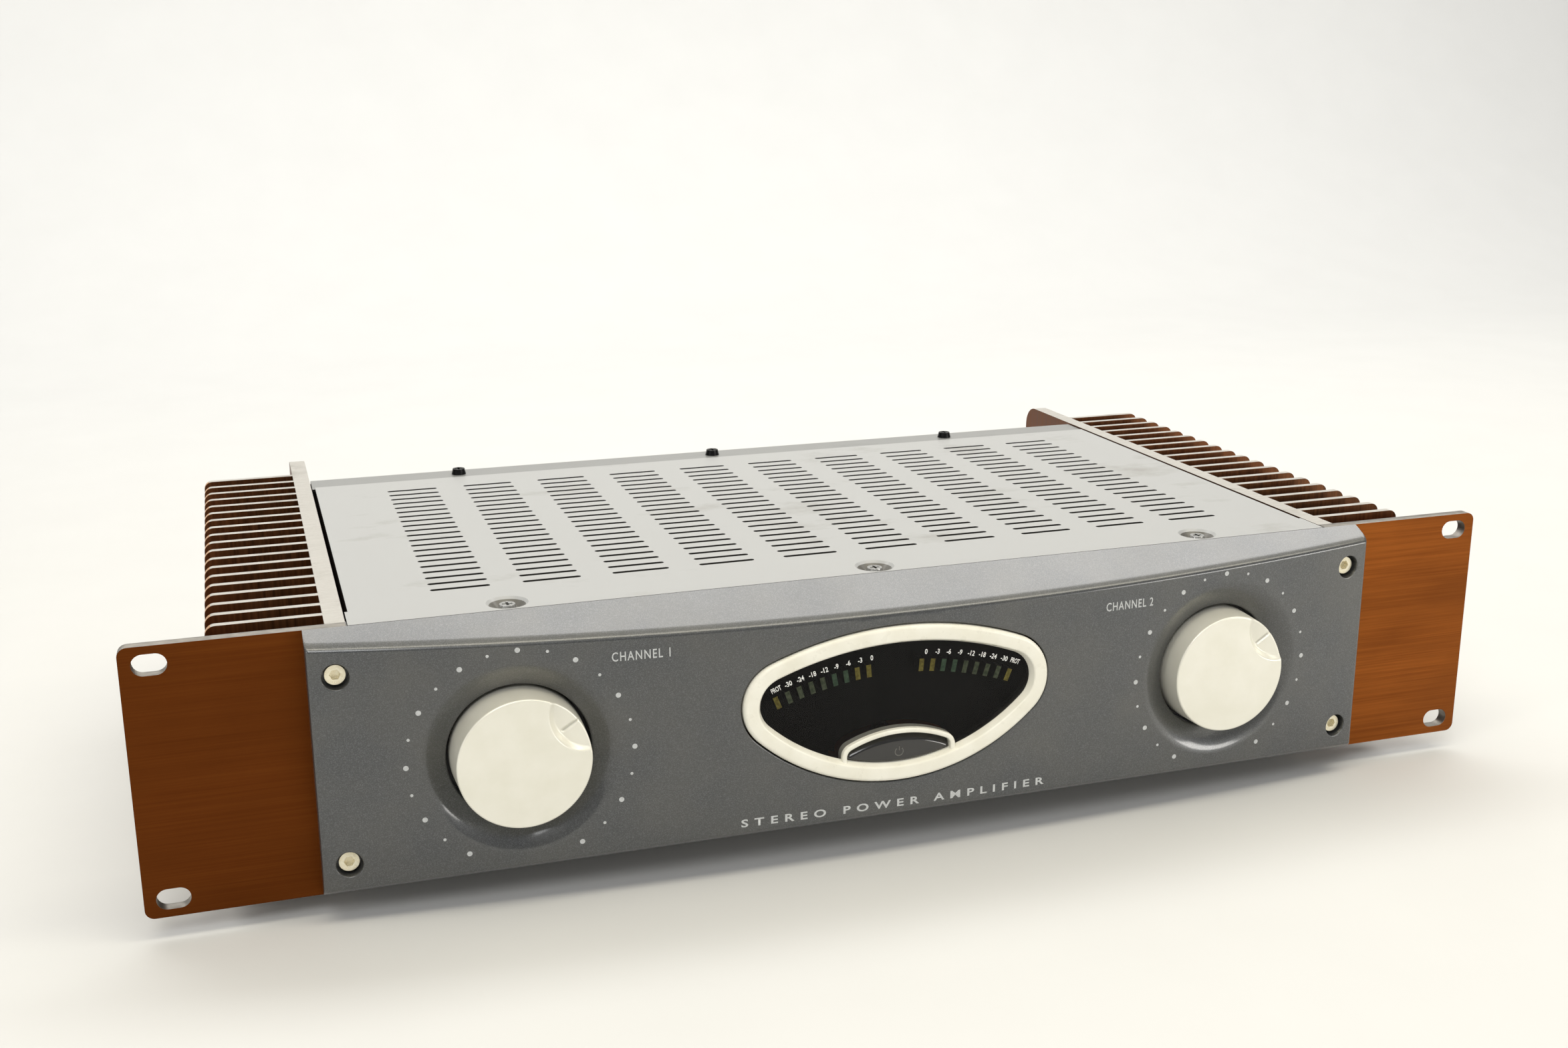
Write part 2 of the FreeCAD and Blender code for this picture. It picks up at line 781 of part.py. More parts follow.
def heatsink(side, label):
    """A thick base plate with upright fins on its outside."""
    part = new_body("sink")
    centre = "(sink_in + sink_base / 2)"
    plate = sketch(part, "YZ_Plane", ("(sink_deep + panel_t) / 2", 0, f"{side} * {centre} - sink_base / 2"))
    draw_rectangle(plate, "sink_deep - panel_t", "sink_h")
    pad(part, plate, "sink_base")
    fin_low = "sink_in + sink_base - 0.2" if side > 0 else "-(sink_in + sink_base + fin_len)"
    outline = sketch(part, "YZ_Plane", ("fin_first + fin_t / 2", 0, fin_low))
    draw_rectangle(outline, "fin_t", "sink_h")
    fin = pad(part, outline, "fin_len + 0.2")
    row = part.newObject("PartDesign::LinearPattern", "row")
    row.Originals = [fin]
    row.Direction = ([o for o in part.Origin.OriginFeatures if o.Role == "Y_Axis"][0], [""])
    row.Occurrences = int(cell("fin_count"))
    bind(row, Length="fin_pitch * (fin_count - 1)")
    part.Tip = row
    doc.recompute()
    tip = cell("sink_in") + cell("sink_base") + cell("fin_len")
    fins = rounded(
        part,
        "fin_corner",
        lambda e: abs(abs(e.CenterOfMass.x) - tip) < 0.01
        and abs(e.BoundBox.YLength - cell("fin_t")) < 0.01,
    )
    both = rounded(
        fins,
        "sink_corner",
        lambda e: abs(e.CenterOfMass.y - cell("sink_deep")) < 0.01
        and e.BoundBox.ZLength < 0.01
        and e.BoundBox.XLength > 1,
    )
    drilled = "sink_in - 1" if side > 0 else "-sink_in - 4.3"
    holes = [
        cyl((drilled, y, -39.4), "X", 1.55, 5.3) for y in TRAY_SCREWS
    ]
    holes += [
        cyl((drilled, y, z), "X", 1.55, 5.3) for y, z in REAR_SCREWS
    ]
    holes += [cyl((drilled, y, TRANSISTOR_Z + 4), "X", 1.55, 5.3) for y in TRANSISTORS]
    holes += [
        cyl((f"{side} * {centre}", 0, f"{k} * pscrew_z"), "Y", 2.05, 16) for k in (-1, 1)
    ]
    sub_part(cut(both, *holes), label)


# ---- sheet-metal case --------------------------------------------------------

TRAY_SCREWS = (30, 95, 160)
REAR_SCREWS = ((195, -24), (195, 24))
TRANSISTORS = (45, 80, 115, 150)
TRANSISTOR_Z = -17.0
DIMPLES = (-1, 0, 1)


def vent_slots():
    """Rows of round-ended slots, cut through the cover as one tool."""
    straight = cell("vent_len") - cell("vent_w")
    r = cell("vent_w") / 2
    low, high = cell("cover_top") - 3, cell("cover_top") + 1
    solids = []
    for column in range(int(cell("vent_columns"))):
        x = (column - (cell("vent_columns") - 1) / 2) * cell("vent_pitch_x")
        for row in range(int(cell("vent_rows"))):
            y = cell("vent_first") + row * cell("vent_pitch_y")
            left, right = x - straight / 2, x + straight / 2
            wire = Part.Wire(
                [
                    Part.LineSegment(V(left, y - r, low), V(right, y - r, low)).toShape(),
                    Part.Arc(
                        V(right, y - r, low), V(right + r, y, low), V(right, y + r, low)
                    ).toShape(),
                    Part.LineSegment(V(right, y + r, low), V(left, y + r, low)).toShape(),
                    Part.Arc(
                        V(left, y + r, low), V(left - r, y, low), V(left, y - r, low)
                    ).toShape(),
                ]
            )
            solids.append(Part.Face(wire).extrude(V(0, 0, high - low)))
    tool = doc.addObject("Part::Feature", "vents")
    tool.Shape = Part.makeCompound(solids)
    return tool


def top_cover():
    under = "cover_top - sheet_t"
    front = span(("-cover_half", "cover_half"), (0.5, "notch_front"), (under, "cover_top"))
    inner = "cover_half - cover_notch"
    main = span(
        (f"-({inner})", inner), ("notch_front - 1", "notch_back"), (under, "cover_top")
    )
    strip = span(
        ("-cover_half", "cover_half"),
        ("notch_back - 0.6", "case_deep"),
        (f"{under} - strip_drop", "cover_top - strip_drop"),
    )
    flanges = [
        span(x, (20, "notch_back - 4"), (34, "cover_top - sheet_t / 2"))
        for x in ((f"-({inner})", f"-({inner}) + sheet_t"), (f"{inner} - sheet_t", inner))
    ]
    solid, tools = [front, main, strip, *flanges], [vent_slots()]
    for i in DIMPLES:
        at = (f"{i} * dial_x + dimple_shift", "dimple_y")
        low = f"{under} - dimple_depth"
        solid.append(
            cone((*at, low), "Z", "dimple_seat_r + 0.6", "dimple_r + 0.6", "dimple_depth")
        )
        tools.append(
            cone(
                (*at, f"{low} + sheet_t"),
                "Z",
                "dimple_seat_r",
                "dimple_r + 0.3",
                "dimple_depth + 0.1",
            )
        )
        tools.append(cyl((*at, 30), "Z", 1.7, 20))
        tools.append(cyl((f"{i} * rear_screw_x + rear_screw_shift", "rear_screw_y", 30), "Z", 1.7, 20))
    sub_part(cut(fuse(*solid), *tools), "top_cover")


def cross_screw(x, y, seat, head_r, head_h, length, recess=1.2):
    """A pan-head screw, driven downwards, with a cross recess."""
    head = doc.addObject("Part::Cone", "head")
    bind(head, Radius1=head_r, Radius2=f"{head_r} * 0.82", Height=head_h)
    place(head, (x, y, seat))
    shank = cyl((x, y, f"{seat} - {length}"), "Z", 1.5, length)
    arms = [
        box((f"{x} - {a}", f"{y} - {b}", f"{seat} + {head_h} - {recess}"), (2 * a, 2 * b, 2))
        for a, b in ((head_r * 0.55, 0.42), (0.42, head_r * 0.55))
    ]
    return cut(fuse(head, shank), *arms)


def cover_screws():
    seat = "cover_top - dimple_depth"
    front = [
        cross_screw(f"{i} * dial_x + dimple_shift", "dimple_y", seat, 3.1, 1.9, 7.5) for i in DIMPLES
    ]
    sub_part(group(*front), "cover_front_screws")
    rear = [
        cross_screw(f"{i} * rear_screw_x + rear_screw_shift", "rear_screw_y", "cover_top - strip_drop", 3.0, 2.3, 7)
        for i in DIMPLES
    ]
    sub_part(group(*rear), "cover_rear_screws")


def front_rail():
    """Folded strip behind the panel that the cover's front screws go into."""
    top = "cover_top - sheet_t - dimple_depth - 0.05"
    shelf = span((-175, 175), ("panel_t + 0.05", 16), (f"{top} - sheet_t", top))
    web = span((-175, 175), ("panel_t + 0.05", "panel_t + sheet_t"), (26, top))
    holes = [cyl((f"{i} * dial_x + dimple_shift", "dimple_y", 30), "Z", 1.55, 12) for i in DIMPLES]
    sub_part(cut(fuse(shelf, web), *holes), "front_rail")


def chassis_tray():
    """Bottom sheet with folded sides that screw to the heat sinks."""
    up = "floor_z + sheet_t"
    floor = span(("-case_half", "case_half"), ("panel_t + 0.1", "case_deep"), ("floor_z", up))
    sides = [
        span(x, (10, 186), ("floor_z", -33))
        for x in (("-case_half", "-case_half + sheet_t"), ("case_half - sheet_t", "case_half"))
    ]
    front = span((-165, 165), ("panel_t + 0.1", "panel_t + 0.1 + sheet_t"), ("floor_z", -30))
    holes = [
        cyl((x, y, -50), "Z", 2.1, 12)
        for x in ("-foot_x", "foot_x")
        for y in ("foot_front", "foot_back")
    ]
    holes += [cyl((-178, y, -39.4), "X", 1.7, 356) for y in TRAY_SCREWS]
    holes.append(cyl((0, "coil_y", -50), "Z", 4.1, 12))
    slots = [
        span((x - 13, x + 13), (y, y + 2.5), (-46, -42))
        for x in (-130, -95, 95, 130)
        for y in range(60, 151, 9)
    ]
    sub_part(cut(fuse(floor, *sides, front), *holes, *slots), "chassis_tray")


def side_screws(ys_and_zs):
    """Pan-head screws from inside the case into both heat sinks."""
    made = []
    for y, z in ys_and_zs:
        for side in (-1, 1):
            head_low = "case_half - sheet_t - 2" if side > 0 else "-case_half + sheet_t"
            shank_low = "case_half - sheet_t - 1" if side > 0 else "-sink_in - 3.8"
            head = cyl((head_low, y, z), "X", 2.5, 2)
            shank = cyl((shank_low, y, z), "X", 1.5, "sink_in + 3.8 - case_half + sheet_t + 1")
            made.append(fuse(head, shank))
    sub_part(group(*made), "side_screws")


def feet():
    rubber, screws = [], []
    low = "floor_z - foot_h"
    for x in ("-foot_x", "foot_x"):
        for y in ("foot_front", "foot_back"):
            pad_solid = cone((x, y, low), "Z", "foot_r - 1.2", "foot_r", "foot_h")
            tools = [cyl((x, y, f"{low} - 1"), "Z", 4.4, 5), cyl((x, y, low), "Z", 2.1, 12)]
            rubber.append(cut(pad_solid, *tools))
            head = cyl((x, y, f"{low} + 1.6"), "Z", 3.9, 2.35)
            shank = cyl((x, y, f"{low} + 1.6"), "Z", 2.0, 12)
            screws.append(fuse(head, shank))
    sub_part(group(*rubber), "feet")
    sub_part(group(*screws), "foot_screws")


# ---- inside ------------------------------------------------------------------


def transformer():
    part = new_body("coil")
    profile = sketch(part, "XZ_Plane", (0, "floor_z + sheet_t", "-coil_y"))
    low, high = 0.0, cell("coil_h")
    inner, outer, soft = cell("coil_in"), cell("coil_out"), cell("coil_round")
    for item in (
        Part.LineSegment(V(inner, low + soft / 2, 0), V(inner, high - soft / 2, 0)),
        arc(inner + soft / 2, high - soft / 2, soft / 2, math.pi / 2, math.pi),
        Part.LineSegment(V(inner + soft / 2, high, 0), V(outer - soft, high, 0)),
        arc(outer - soft, high - soft, soft, 0, math.pi / 2),
        Part.LineSegment(V(outer, high - soft, 0), V(outer, low + soft, 0)),
        arc(outer - soft, low + soft, soft, -math.pi / 2, 0),
        Part.LineSegment(V(outer - soft, low, 0), V(inner + soft / 2, low, 0)),
        arc(inner + soft / 2, low + soft / 2, soft / 2, math.pi, 1.5 * math.pi),
    ):
        profile.addGeometry(item, False)
    turned = part.newObject("PartDesign::Revolution", "turned")
    turned.Profile = profile
    turned.ReferenceAxis = (profile, ["V_Axis"])
    turned.Angle = 360
    sub_part(part, "toroidal_transformer")
    top = "floor_z + sheet_t + coil_h"
    plate = cut(
        fuse(
            cyl((0, "coil_y", top), "Z", 34, 2),
            cone((0, "coil_y", f"{top} - 5"), "Z", 12, 16, 5.5),
        ),
        cone((0, "coil_y", f"{top} - 3"), "Z", 10.5, 15, 6),
        cyl((0, "coil_y", -30), "Z", 4.2, 60),
    )
    sub_part(plate, "transformer_plate")
    seat = f"{top} - 3"
    bolt = fuse(
        cyl((0, "coil_y", "floor_z - 3"), "Z", 6.5, 2.95),
        cyl((0, "coil_y", "floor_z - 3"), "Z", 4.0, 62),
        hexagon((0, "coil_y", seat), "Z", 7.5, 6),
    )
    sub_part(bolt, "transformer_bolt")


def board(x, y, label, chips=()):
    plate = span(x, y, ("board_z", "board_z + board_t"))
    extra = [
        box((cx, cy, "board_z + board_t"), size) for cx, cy, size in chips
    ]
    sub_part(fuse(plate, *extra), label)


def boards():
    small = [(-160 + 12 * i, 60 + 9 * j, (6, 2.4, 2.4)) for i in range(4) for j in range(9)]
    tall = [(-106, 100, (10, 10, 14)), (-106, 125, (10, 10, 14)), (-106, 150, (10, 10, 14))]
    left = small + tall
    right = [(-x - size[0], y, size) for x, y, size in left]
    board((-173, -90), (25, 175), "amplifier_board_left", left)
    board((90, 173), (25, 175), "amplifier_board_right", right)
    board((-70, 70), (150, 186), "supply_board")
    board(
        (78, 166), (178, 198), "input_board", [(90 + 14 * i, 180, (8, 5, 3)) for i in range(5)]
    )
    posts = [(x, y) for x in (-165, -96, 96, 165) for y in (33, 168)]
    posts += [(x, y) for x in (-65, 65) for y in (154, 182)]
    posts += [(84, 186), (160, 186)]
    made = [
        cyl((x, y, "floor_z + sheet_t"), "Z", 3.0, "board_z - floor_z - sheet_t")
        for x, y in posts
    ]
    sub_part(group(*made), "board_standoffs")


def power_parts():
    devices, screws = [], []
    for side in (-1, 1):
        for y in TRANSISTORS:
            low = "sink_in - 5" if side > 0 else "-sink_in"
            case = box((low, y - 8, TRANSISTOR_Z - 10), (5, 16, 20))
            leg_low = 171.6 if side > 0 else -172.4
            legs = [
                box((leg_low, y + d - 0.5, "board_z + board_t"), (0.8, 1, 10))
                for d in (-5, 0, 5)
            ]
            hole = cyl((f"{low} - 1", y, TRANSISTOR_Z + 4), "X", 1.7, 8)
            devices.append(cut(fuse(case, *legs), hole))
            head_low = "sink_in - 7" if side > 0 else "-sink_in + 5"
            shank_low = "sink_in - 6" if side > 0 else "-sink_in - 3.8"
            screws.append(
                fuse(
                    cyl((head_low, y, TRANSISTOR_Z + 4), "X", 2.8, 2),
                    cyl((shank_low, y, TRANSISTOR_Z + 4), "X", 1.5, 9.8),
                )
            )
    sub_part(group(*devices), "power_transistors")
    sub_part(group(*screws), "transistor_screws")
    cans = [cyl((x, 165, "board_z + board_t"), "Z", 12, 42) for x in (-53, -27, 27, 53)]
    sub_part(group(*cans), "filter_capacitors")
    block = span((-10, 10), (158, 178), ("board_z + board_t", "board_z + board_t + 8"))
    sub_part(block, "bridge_rectifier")
    relays = [
        span(x, (30, 43), ("board_z + board_t", "board_z + board_t + 16"))
        for x in ((-129, -100), (100, 129))
    ]
    sub_part(group(*relays), "output_relays")


# ---- rear panel and connectors ------------------------------------------------

REAR = 201.8
POSTS = (("red_left", -88.0), ("black_left", -69.0), ("red_right", -38.0), ("black_right", -19.0))
OUT_JACKS = (-78.5, -28.5)
IN_JACKS = (62.0, 122.0)
RCA = (88.0, 148.0)
XLR = (("left", 75.0), ("right", 135.0))


def rear_panel():
    inside = f"{REAR} - sheet_t"
    plate = span(("-case_half", "case_half"), (inside, REAR), (-42.7, 42.2))
    top = span((-170, 170), (186, REAR), (41.0, 42.2))
    bottom = span((-170, 170), (193, REAR), (-42.7, -41.5))
    sides = [
        span(x, (188, REAR), (-34, 34))
        for x in (("-case_half", "-case_half + sheet_t"), ("case_half - sheet_t", "case_half"))
    ]
    low = 199
    holes = [cyl((f"{i} * rear_screw_x + rear_screw_shift", "rear_screw_y", 38), "Z", 1.55, 6) for i in DIMPLES]
    holes += [cyl((-178, y, z), "X", 1.7, 356) for y, z in REAR_SCREWS]
    holes += [cyl((x, low, "post_z"), "Y", 4.6, 5) for _, x in POSTS]
    holes += [cyl((x, low, "jack_z"), "Y", 4.7, 5) for x in OUT_JACKS + IN_JACKS]
    holes += [cyl((x, low, "jack_z"), "Y", 4.6, 5) for x in RCA]
    for _, x in XLR:
        holes.append(cyl((x, low, "xlr_z"), "Y", 12.0, 5))
        holes.append(span((x - 3.6, x + 3.6), (low, 205), ("xlr_z + 8", "xlr_z + 14.6")))
    holes.append(
        span(
            ("inlet_x - 13.1", "inlet_x + 13.1"), (low, 205), ("inlet_z - 21.1", "inlet_z + 21.1")
        )
    )
    holes.append(
        span(("mode_x - 7", "mode_x + 7"), (low, 205), ("mode_z - 2.4", "mode_z + 2.4"))
    )
    sub_part(cut(fuse(plate, top, bottom, *sides), *holes), "rear_panel")


def mains_inlet():
    flange = span(
        ("inlet_x - 15", "inlet_x + 15"), (REAR, 204.3), ("inlet_z - 24", "inlet_z + 24")
    )
    case = span(
        ("inlet_x - 13", "inlet_x + 13"), (184, 203), ("inlet_z - 21", "inlet_z + 21")
    )
    well = span(
        ("inlet_x - 12", "inlet_x + 12"), (189, 206), ("inlet_z + 1", "inlet_z + 18")
    )
    bay = span(
        ("inlet_x - 11.3", "inlet_x + 11.3"), (187, 206), ("inlet_z - 19.3", "inlet_z - 5.2")
    )
    sub_part(cut(fuse(flange, case), well, bay), "mains_inlet")
    pins = [
        box((f"inlet_x + {x} - 1", 189, f"inlet_z + {z} - 2"), (2, 12.5, 4))
        for x, z in ((-7, 8), (0, 12), (7, 8))
    ]
    sub_part(group(*pins), "inlet_pins")
    tray = span(
        ("inlet_x - 11", "inlet_x + 11"), (187.4, 205.4), ("inlet_z - 19", "inlet_z - 5.5")
    )
    grip = span(
        ("inlet_x - 5", "inlet_x + 5"), (204.6, 207), ("inlet_z - 13.5", "inlet_z - 10.5")
    )
    sub_part(fuse(tray, grip), "fuse_drawer")


def xlr_sockets():
    """Panel sockets: a flanged shell, a round insert with three pin holes, a latch tab."""
    shells, inserts = [], []
    for name, x in XLR:
        flange = span((x - 13, x + 13), (REAR, 203.8), ("xlr_z - 15.5", "xlr_z + 15.5"))
        case = cyl((x, 184, "xlr_z"), "Y", 11.8, 19)
        bore = cyl((x, 190, "xlr_z"), "Y", 9.7, 15)
        slot = span((x - 3.3, x + 3.3), (196, 206), ("xlr_z + 9.0", "xlr_z + 14.3"))
        shells.append(cut(fuse(flange, case), bore, slot))
        holes = []
        for degrees in (90, 210, 330):
            dx = 3.9 * math.cos(math.radians(degrees))
            dz = 3.9 * math.sin(math.radians(degrees))
            holes.append(cyl((x + dx, 192, f"xlr_z + {dz}"), "Y", 1.25, 15))
        inserts.append(cut(cyl((x, 190, "xlr_z"), "Y", 8.0, 13.2), *holes))
        tab = span((x - 3, x + 3), (199.5, 205.2), ("xlr_z + 10.5", "xlr_z + 14"))
        sub_part(tab, "xlr_latch_" + name)
    sub_part(group(*shells), "xlr_sockets")
    sub_part(group(*inserts), "xlr_inserts")


def connector_screws():
    made = []
    for _, x in XLR:
        for dx, dz in ((-10.2, 12.3), (10.2, -12.3)):
            head = cyl((x + dx, 203.8, f"xlr_z + {dz}"), "Y", 2.4, 1.6)
            slot = span(
                (x + dx - 1.6, x + dx + 1.6),
                (204.9, 206),
                (f"xlr_z + {dz - 0.35}", f"xlr_z + {dz + 0.35}"),
            )
            made.append(cut(head, slot))
    for dx in (-12.2, 12.2):
        for dz in (-22.2, 22.2):
            made.append(cyl((f"inlet_x + {dx}", 204.3, f"inlet_z + {dz}"), "Y", 1.6, 1.0))
    sub_part(group(*made), "connector_screws")


def jacks():
    bodies = []
    for x in OUT_JACKS + IN_JACKS:
        case = span((x - 7, x + 7), (178, f"{REAR} - sheet_t"), ("jack_z - 7", "jack_z + 7"))
        nose = cyl((x, 199, "jack_z"), "Y", 4.6, 7.5)
        bore = cyl((x, 181, "jack_z"), "Y", 3.2, 30)
        bodies.append(cut(fuse(case, nose), bore))
    sub_part(group(*bodies), "jack_sockets")
    made = []
    for x in RCA:
        collar = cyl((x, REAR, "jack_z"), "Y", 5.8, 1.4)
        barrel = cyl((x, 190, "jack_z"), "Y", 4.15, 21)
        bore = cyl((x, 202, "jack_z"), "Y", 1.7, 10)
        made.append(cut(fuse(collar, barrel), bore))
    sub_part(group(*made), "rca_sockets")


def binding_posts():
    bases, stems = [], []
    for name, x in POSTS:
        base = fuse(
            cyl((x, REAR, "post_z"), "Y", 7.4, 3.4), cyl((x, 195, "post_z"), "Y", 4.5, 8)
        )
        bases.append(cut(base, cyl((x, 190, "post_z"), "Y", 3.02, 20)))
        stem = cyl((x, 191, "post_z"), "Y", 3.0, 30)
        stems.append(cut(stem, cyl((x, 205, "post_z"), "Y", 2.05, 20)))
        cap = fuse(
            cyl((x, 205.6, "post_z"), "Y", 7.2, 9), cyl((x, 214, "post_z"), "Y", 5.6, 7.4)
        )
        sub_part(cut(cap, cyl((x, 200, "post_z"), "Y", 3.08, 30)), "post_cap_" + name)
    sub_part(group(*bases), "post_bases")
    sub_part(group(*stems), "post_stems")


def mode_switch():
    case = span(("mode_x - 11", "mode_x + 11"), (192, 200.55), ("mode_z - 5.5", "mode_z + 5.5"))
    room = span(("mode_x - 6.6", "mode_x + 6.6"), (195.5, 202), ("mode_z - 2.2", "mode_z + 2.2"))
    sub_part(cut(case, room), "mode_switch")
    slider = span(("mode_x - 2", "mode_x + 2"), (195.9, 203.4), ("mode_z - 1.9", "mode_z + 1.9"))
    sub_part(slider, "mode_slider")


# ---- build, check and write ------------------------------------------------------


def build():
    rack_panel()
    panel_screws()
    fascia()
    fascia_screws()
    display_bezel()
    display_lens()
    button_bezel()
    power_button()
    power_switch()
    meter_board()
    meter_leds()
    for side, name in ((-1, "left"), (1, "right")):
        knob(side, "pointer_" + name, "knob_" + name)
        pot_shaft(side, "pot_shaft_" + name)
        pot_body(side, "pot_body_" + name)
        heatsink(side, "heatsink_" + name)
    bushing_nuts()
    top_cover()
    cover_screws()
    front_rail()
    chassis_tray()
    side_screws([(y, -39.4) for y in TRAY_SCREWS] + list(REAR_SCREWS))
    feet()
    transformer()
    boards()
    power_parts()
    rear_panel()
    mains_inlet()
    xlr_sockets()
    connector_screws()
    jacks()
    binding_posts()
    mode_switch()


def check():
    """Stops if any object failed or any sub-part isn't a set of valid closed solids."""
    doc.recompute()
    for obj in doc.Objects:
        bad = [state for state in obj.State if state in ("Invalid", "Error")]
        if bad:
            raise RuntimeError(f"{obj.Name} ({obj.Label}) is {bad}")
    labels = [obj.Label for obj in SUB_PARTS]
    if len(set(labels)) != len(labels):
        raise RuntimeError("two sub-parts share a label")
    for obj in SUB_PARTS:
        shape = obj.Shape
        if shape.isNull() or not shape.isValid() or not shape.Solids:
            raise RuntimeError(f"{obj.Label} has no valid solid")


def export():
    os.makedirs("parts", exist_ok=True)
    for obj in SUB_PARTS:
        obj.Shape.exportStep(f"parts/{obj.Label}.step")
        box_ = obj.Shape.BoundBox
        print(
            f"{obj.Label}: {len(obj.Shape.Solids)} solid(s), {obj.Shape.Volume:.0f} mm3,"
            f" x {box_.XMin:.1f}..{box_.XMax:.1f} y {box_.YMin:.1f}..{box_.YMax:.1f}"
            f" z {box_.ZMin:.1f}..{box_.ZMax:.1f}"
        )
    print(len(SUB_PARTS), "sub-parts")


build()
check()
export()
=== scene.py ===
"""Looks of the two-unit rack-mount stereo power amplifier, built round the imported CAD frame.

Lengths are in millimetres and in the CAD's own frame: +X right, +Y back, +Z up, with the origin
at the middle of the rack slots. Only the stage and the lights are given in metres.
"""

import math

import bpy
from mathutils import Matrix, Vector
from mathutils.geometry import delaunay_2d_cdt


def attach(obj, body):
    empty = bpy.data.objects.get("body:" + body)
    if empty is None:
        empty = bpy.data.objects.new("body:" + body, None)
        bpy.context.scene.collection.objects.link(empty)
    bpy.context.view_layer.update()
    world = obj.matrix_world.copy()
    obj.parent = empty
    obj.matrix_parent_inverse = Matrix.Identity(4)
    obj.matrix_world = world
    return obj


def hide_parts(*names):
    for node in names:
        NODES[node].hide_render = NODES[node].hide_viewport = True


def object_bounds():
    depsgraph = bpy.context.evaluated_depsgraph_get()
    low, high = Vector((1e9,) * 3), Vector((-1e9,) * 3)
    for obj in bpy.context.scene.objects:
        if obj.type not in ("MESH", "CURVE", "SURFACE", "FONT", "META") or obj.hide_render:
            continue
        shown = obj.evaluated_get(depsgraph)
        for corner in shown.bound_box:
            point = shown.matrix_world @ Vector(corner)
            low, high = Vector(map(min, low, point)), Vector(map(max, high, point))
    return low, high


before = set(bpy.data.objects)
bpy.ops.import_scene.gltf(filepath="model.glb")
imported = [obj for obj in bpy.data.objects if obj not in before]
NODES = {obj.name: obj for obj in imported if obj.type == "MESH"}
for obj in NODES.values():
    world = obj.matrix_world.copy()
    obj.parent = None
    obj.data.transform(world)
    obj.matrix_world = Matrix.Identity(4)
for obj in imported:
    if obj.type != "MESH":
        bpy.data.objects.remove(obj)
CAD_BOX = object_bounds()
MM = 0.001

# ---- driving dimensions --------------------------------------------------

PANEL_HALF_H = 44.05
FASCIA_HALF_W = 188.3
FASCIA_END, FASCIA_MID = 8.1, 18.8  # how far the face stands out at its ends and middle
FASCIA_SLOPE = 0.45
FASCIA_ROUND = 1.4
RIDGE_BLEND = 3.0
WELL_EDGE, SCREW_EDGE, WINDOW_EDGE = 0.5, 0.35, 0.45  # rounding radii of the openings' edges
DIAL_X, DIAL_Z = 125.5, -0.4
DISH_RADIUS, DISH_LIFT, DISH_BLEND, DISH_REACH = 51.0, 41.2, 2.0, 40.0
WELL_R = 22.9
KNOB_FACE_Y, KNOB_BACK_Y = -20.2, -4.0
KNOB_FACE_R, KNOB_BASE_R = 21.3, 22.0
POINTER = {-1: math.radians(55.0), 1: math.radians(51.0)}
SCREW_X, SCREW_Z, SCREW_HOLE_R, SCREW_SEAT = 179.9, 30.95, 4.15, 3.0
RIM_HALF, RIM_TOP, RIM_BOTTOM = 54.3, 31.0, -23.3
RIM_TOP_R, RIM_BOTTOM_R = 119.0, 72.0
RIM_WIDTH, RIM_PROUD, RIM_LIP, RIM_GAP = 6.2, 1.3, 2.6, 0.5
LENS_STAND = RIM_PROUD - RIM_LIP - 0.06  # the lens's front, measured from the bowed face
SHADE_SHEET_DEPTH = 9.75
ARCH_HALF, ARCH_TOP, ARCH_R, ARCH_CORNER, ARCH_WIDTH = 20.3, -5.2, 42.0, 4.5, 1.7
BUTTON_Z, BUTTON_GAP, BEVEL_WIDTH = -12.3, 0.35, 2.0
BAR_FIRST, BAR_PITCH, BAR_ARC, MARK_TOP = 9.4, 4.0, 112.0, 20.8
STRIP_START, DIMPLE_SHADE_Z = 187.0, 43.2  # the cover's rear strip in Y, and the Z below which the dimples get painted shade
FLOOR_Z = CAD_BOX[0].z
SIDES = (-1, 1)

CAMERA_AT = (-201.6, -511.1, 208.4)
CAMERA_AZIMUTH, CAMERA_TILT, CAMERA_ROLL = 18.138, -15.045, 0.274
CAMERA_LENS, SENSOR_WIDTH = 39.03, 36.0

# ---- shapes as height fields ------------------------------------------------------

BOW_RISE = FASCIA_MID - FASCIA_END
BOW_R = (FASCIA_HALF_W**2 + BOW_RISE**2) / (2 * BOW_RISE)


def bow(x):
    """How far the bowed face stands in front of the rack panel at x."""
    return FASCIA_MID - BOW_R + math.sqrt(BOW_R**2 - min(abs(x), FASCIA_HALF_W) ** 2)


def soft_min(a, b, blend):
    """The lower of two heights, blended where they meet."""
    overlap = max(blend - abs(a - b), 0.0)
    return min(a, b) - overlap**2 / (4 * blend)


def round_drop(distance, radius):
    """How far a surface falls at a distance from its rounded edge."""
    inside = min(max(distance, 0.0), radius)
    return radius - math.sqrt(radius**2 - (radius - inside) ** 2)


def dial_of(x, z):
    """Distance of a point from the nearer dial's centre."""
    return math.hypot(abs(x) - DIAL_X, z - DIAL_Z)


def screw_of(x, z):
    """Distance of a point from the nearest fascia screw's axis."""
    return math.hypot(abs(x) - SCREW_X, abs(z) - SCREW_Z)


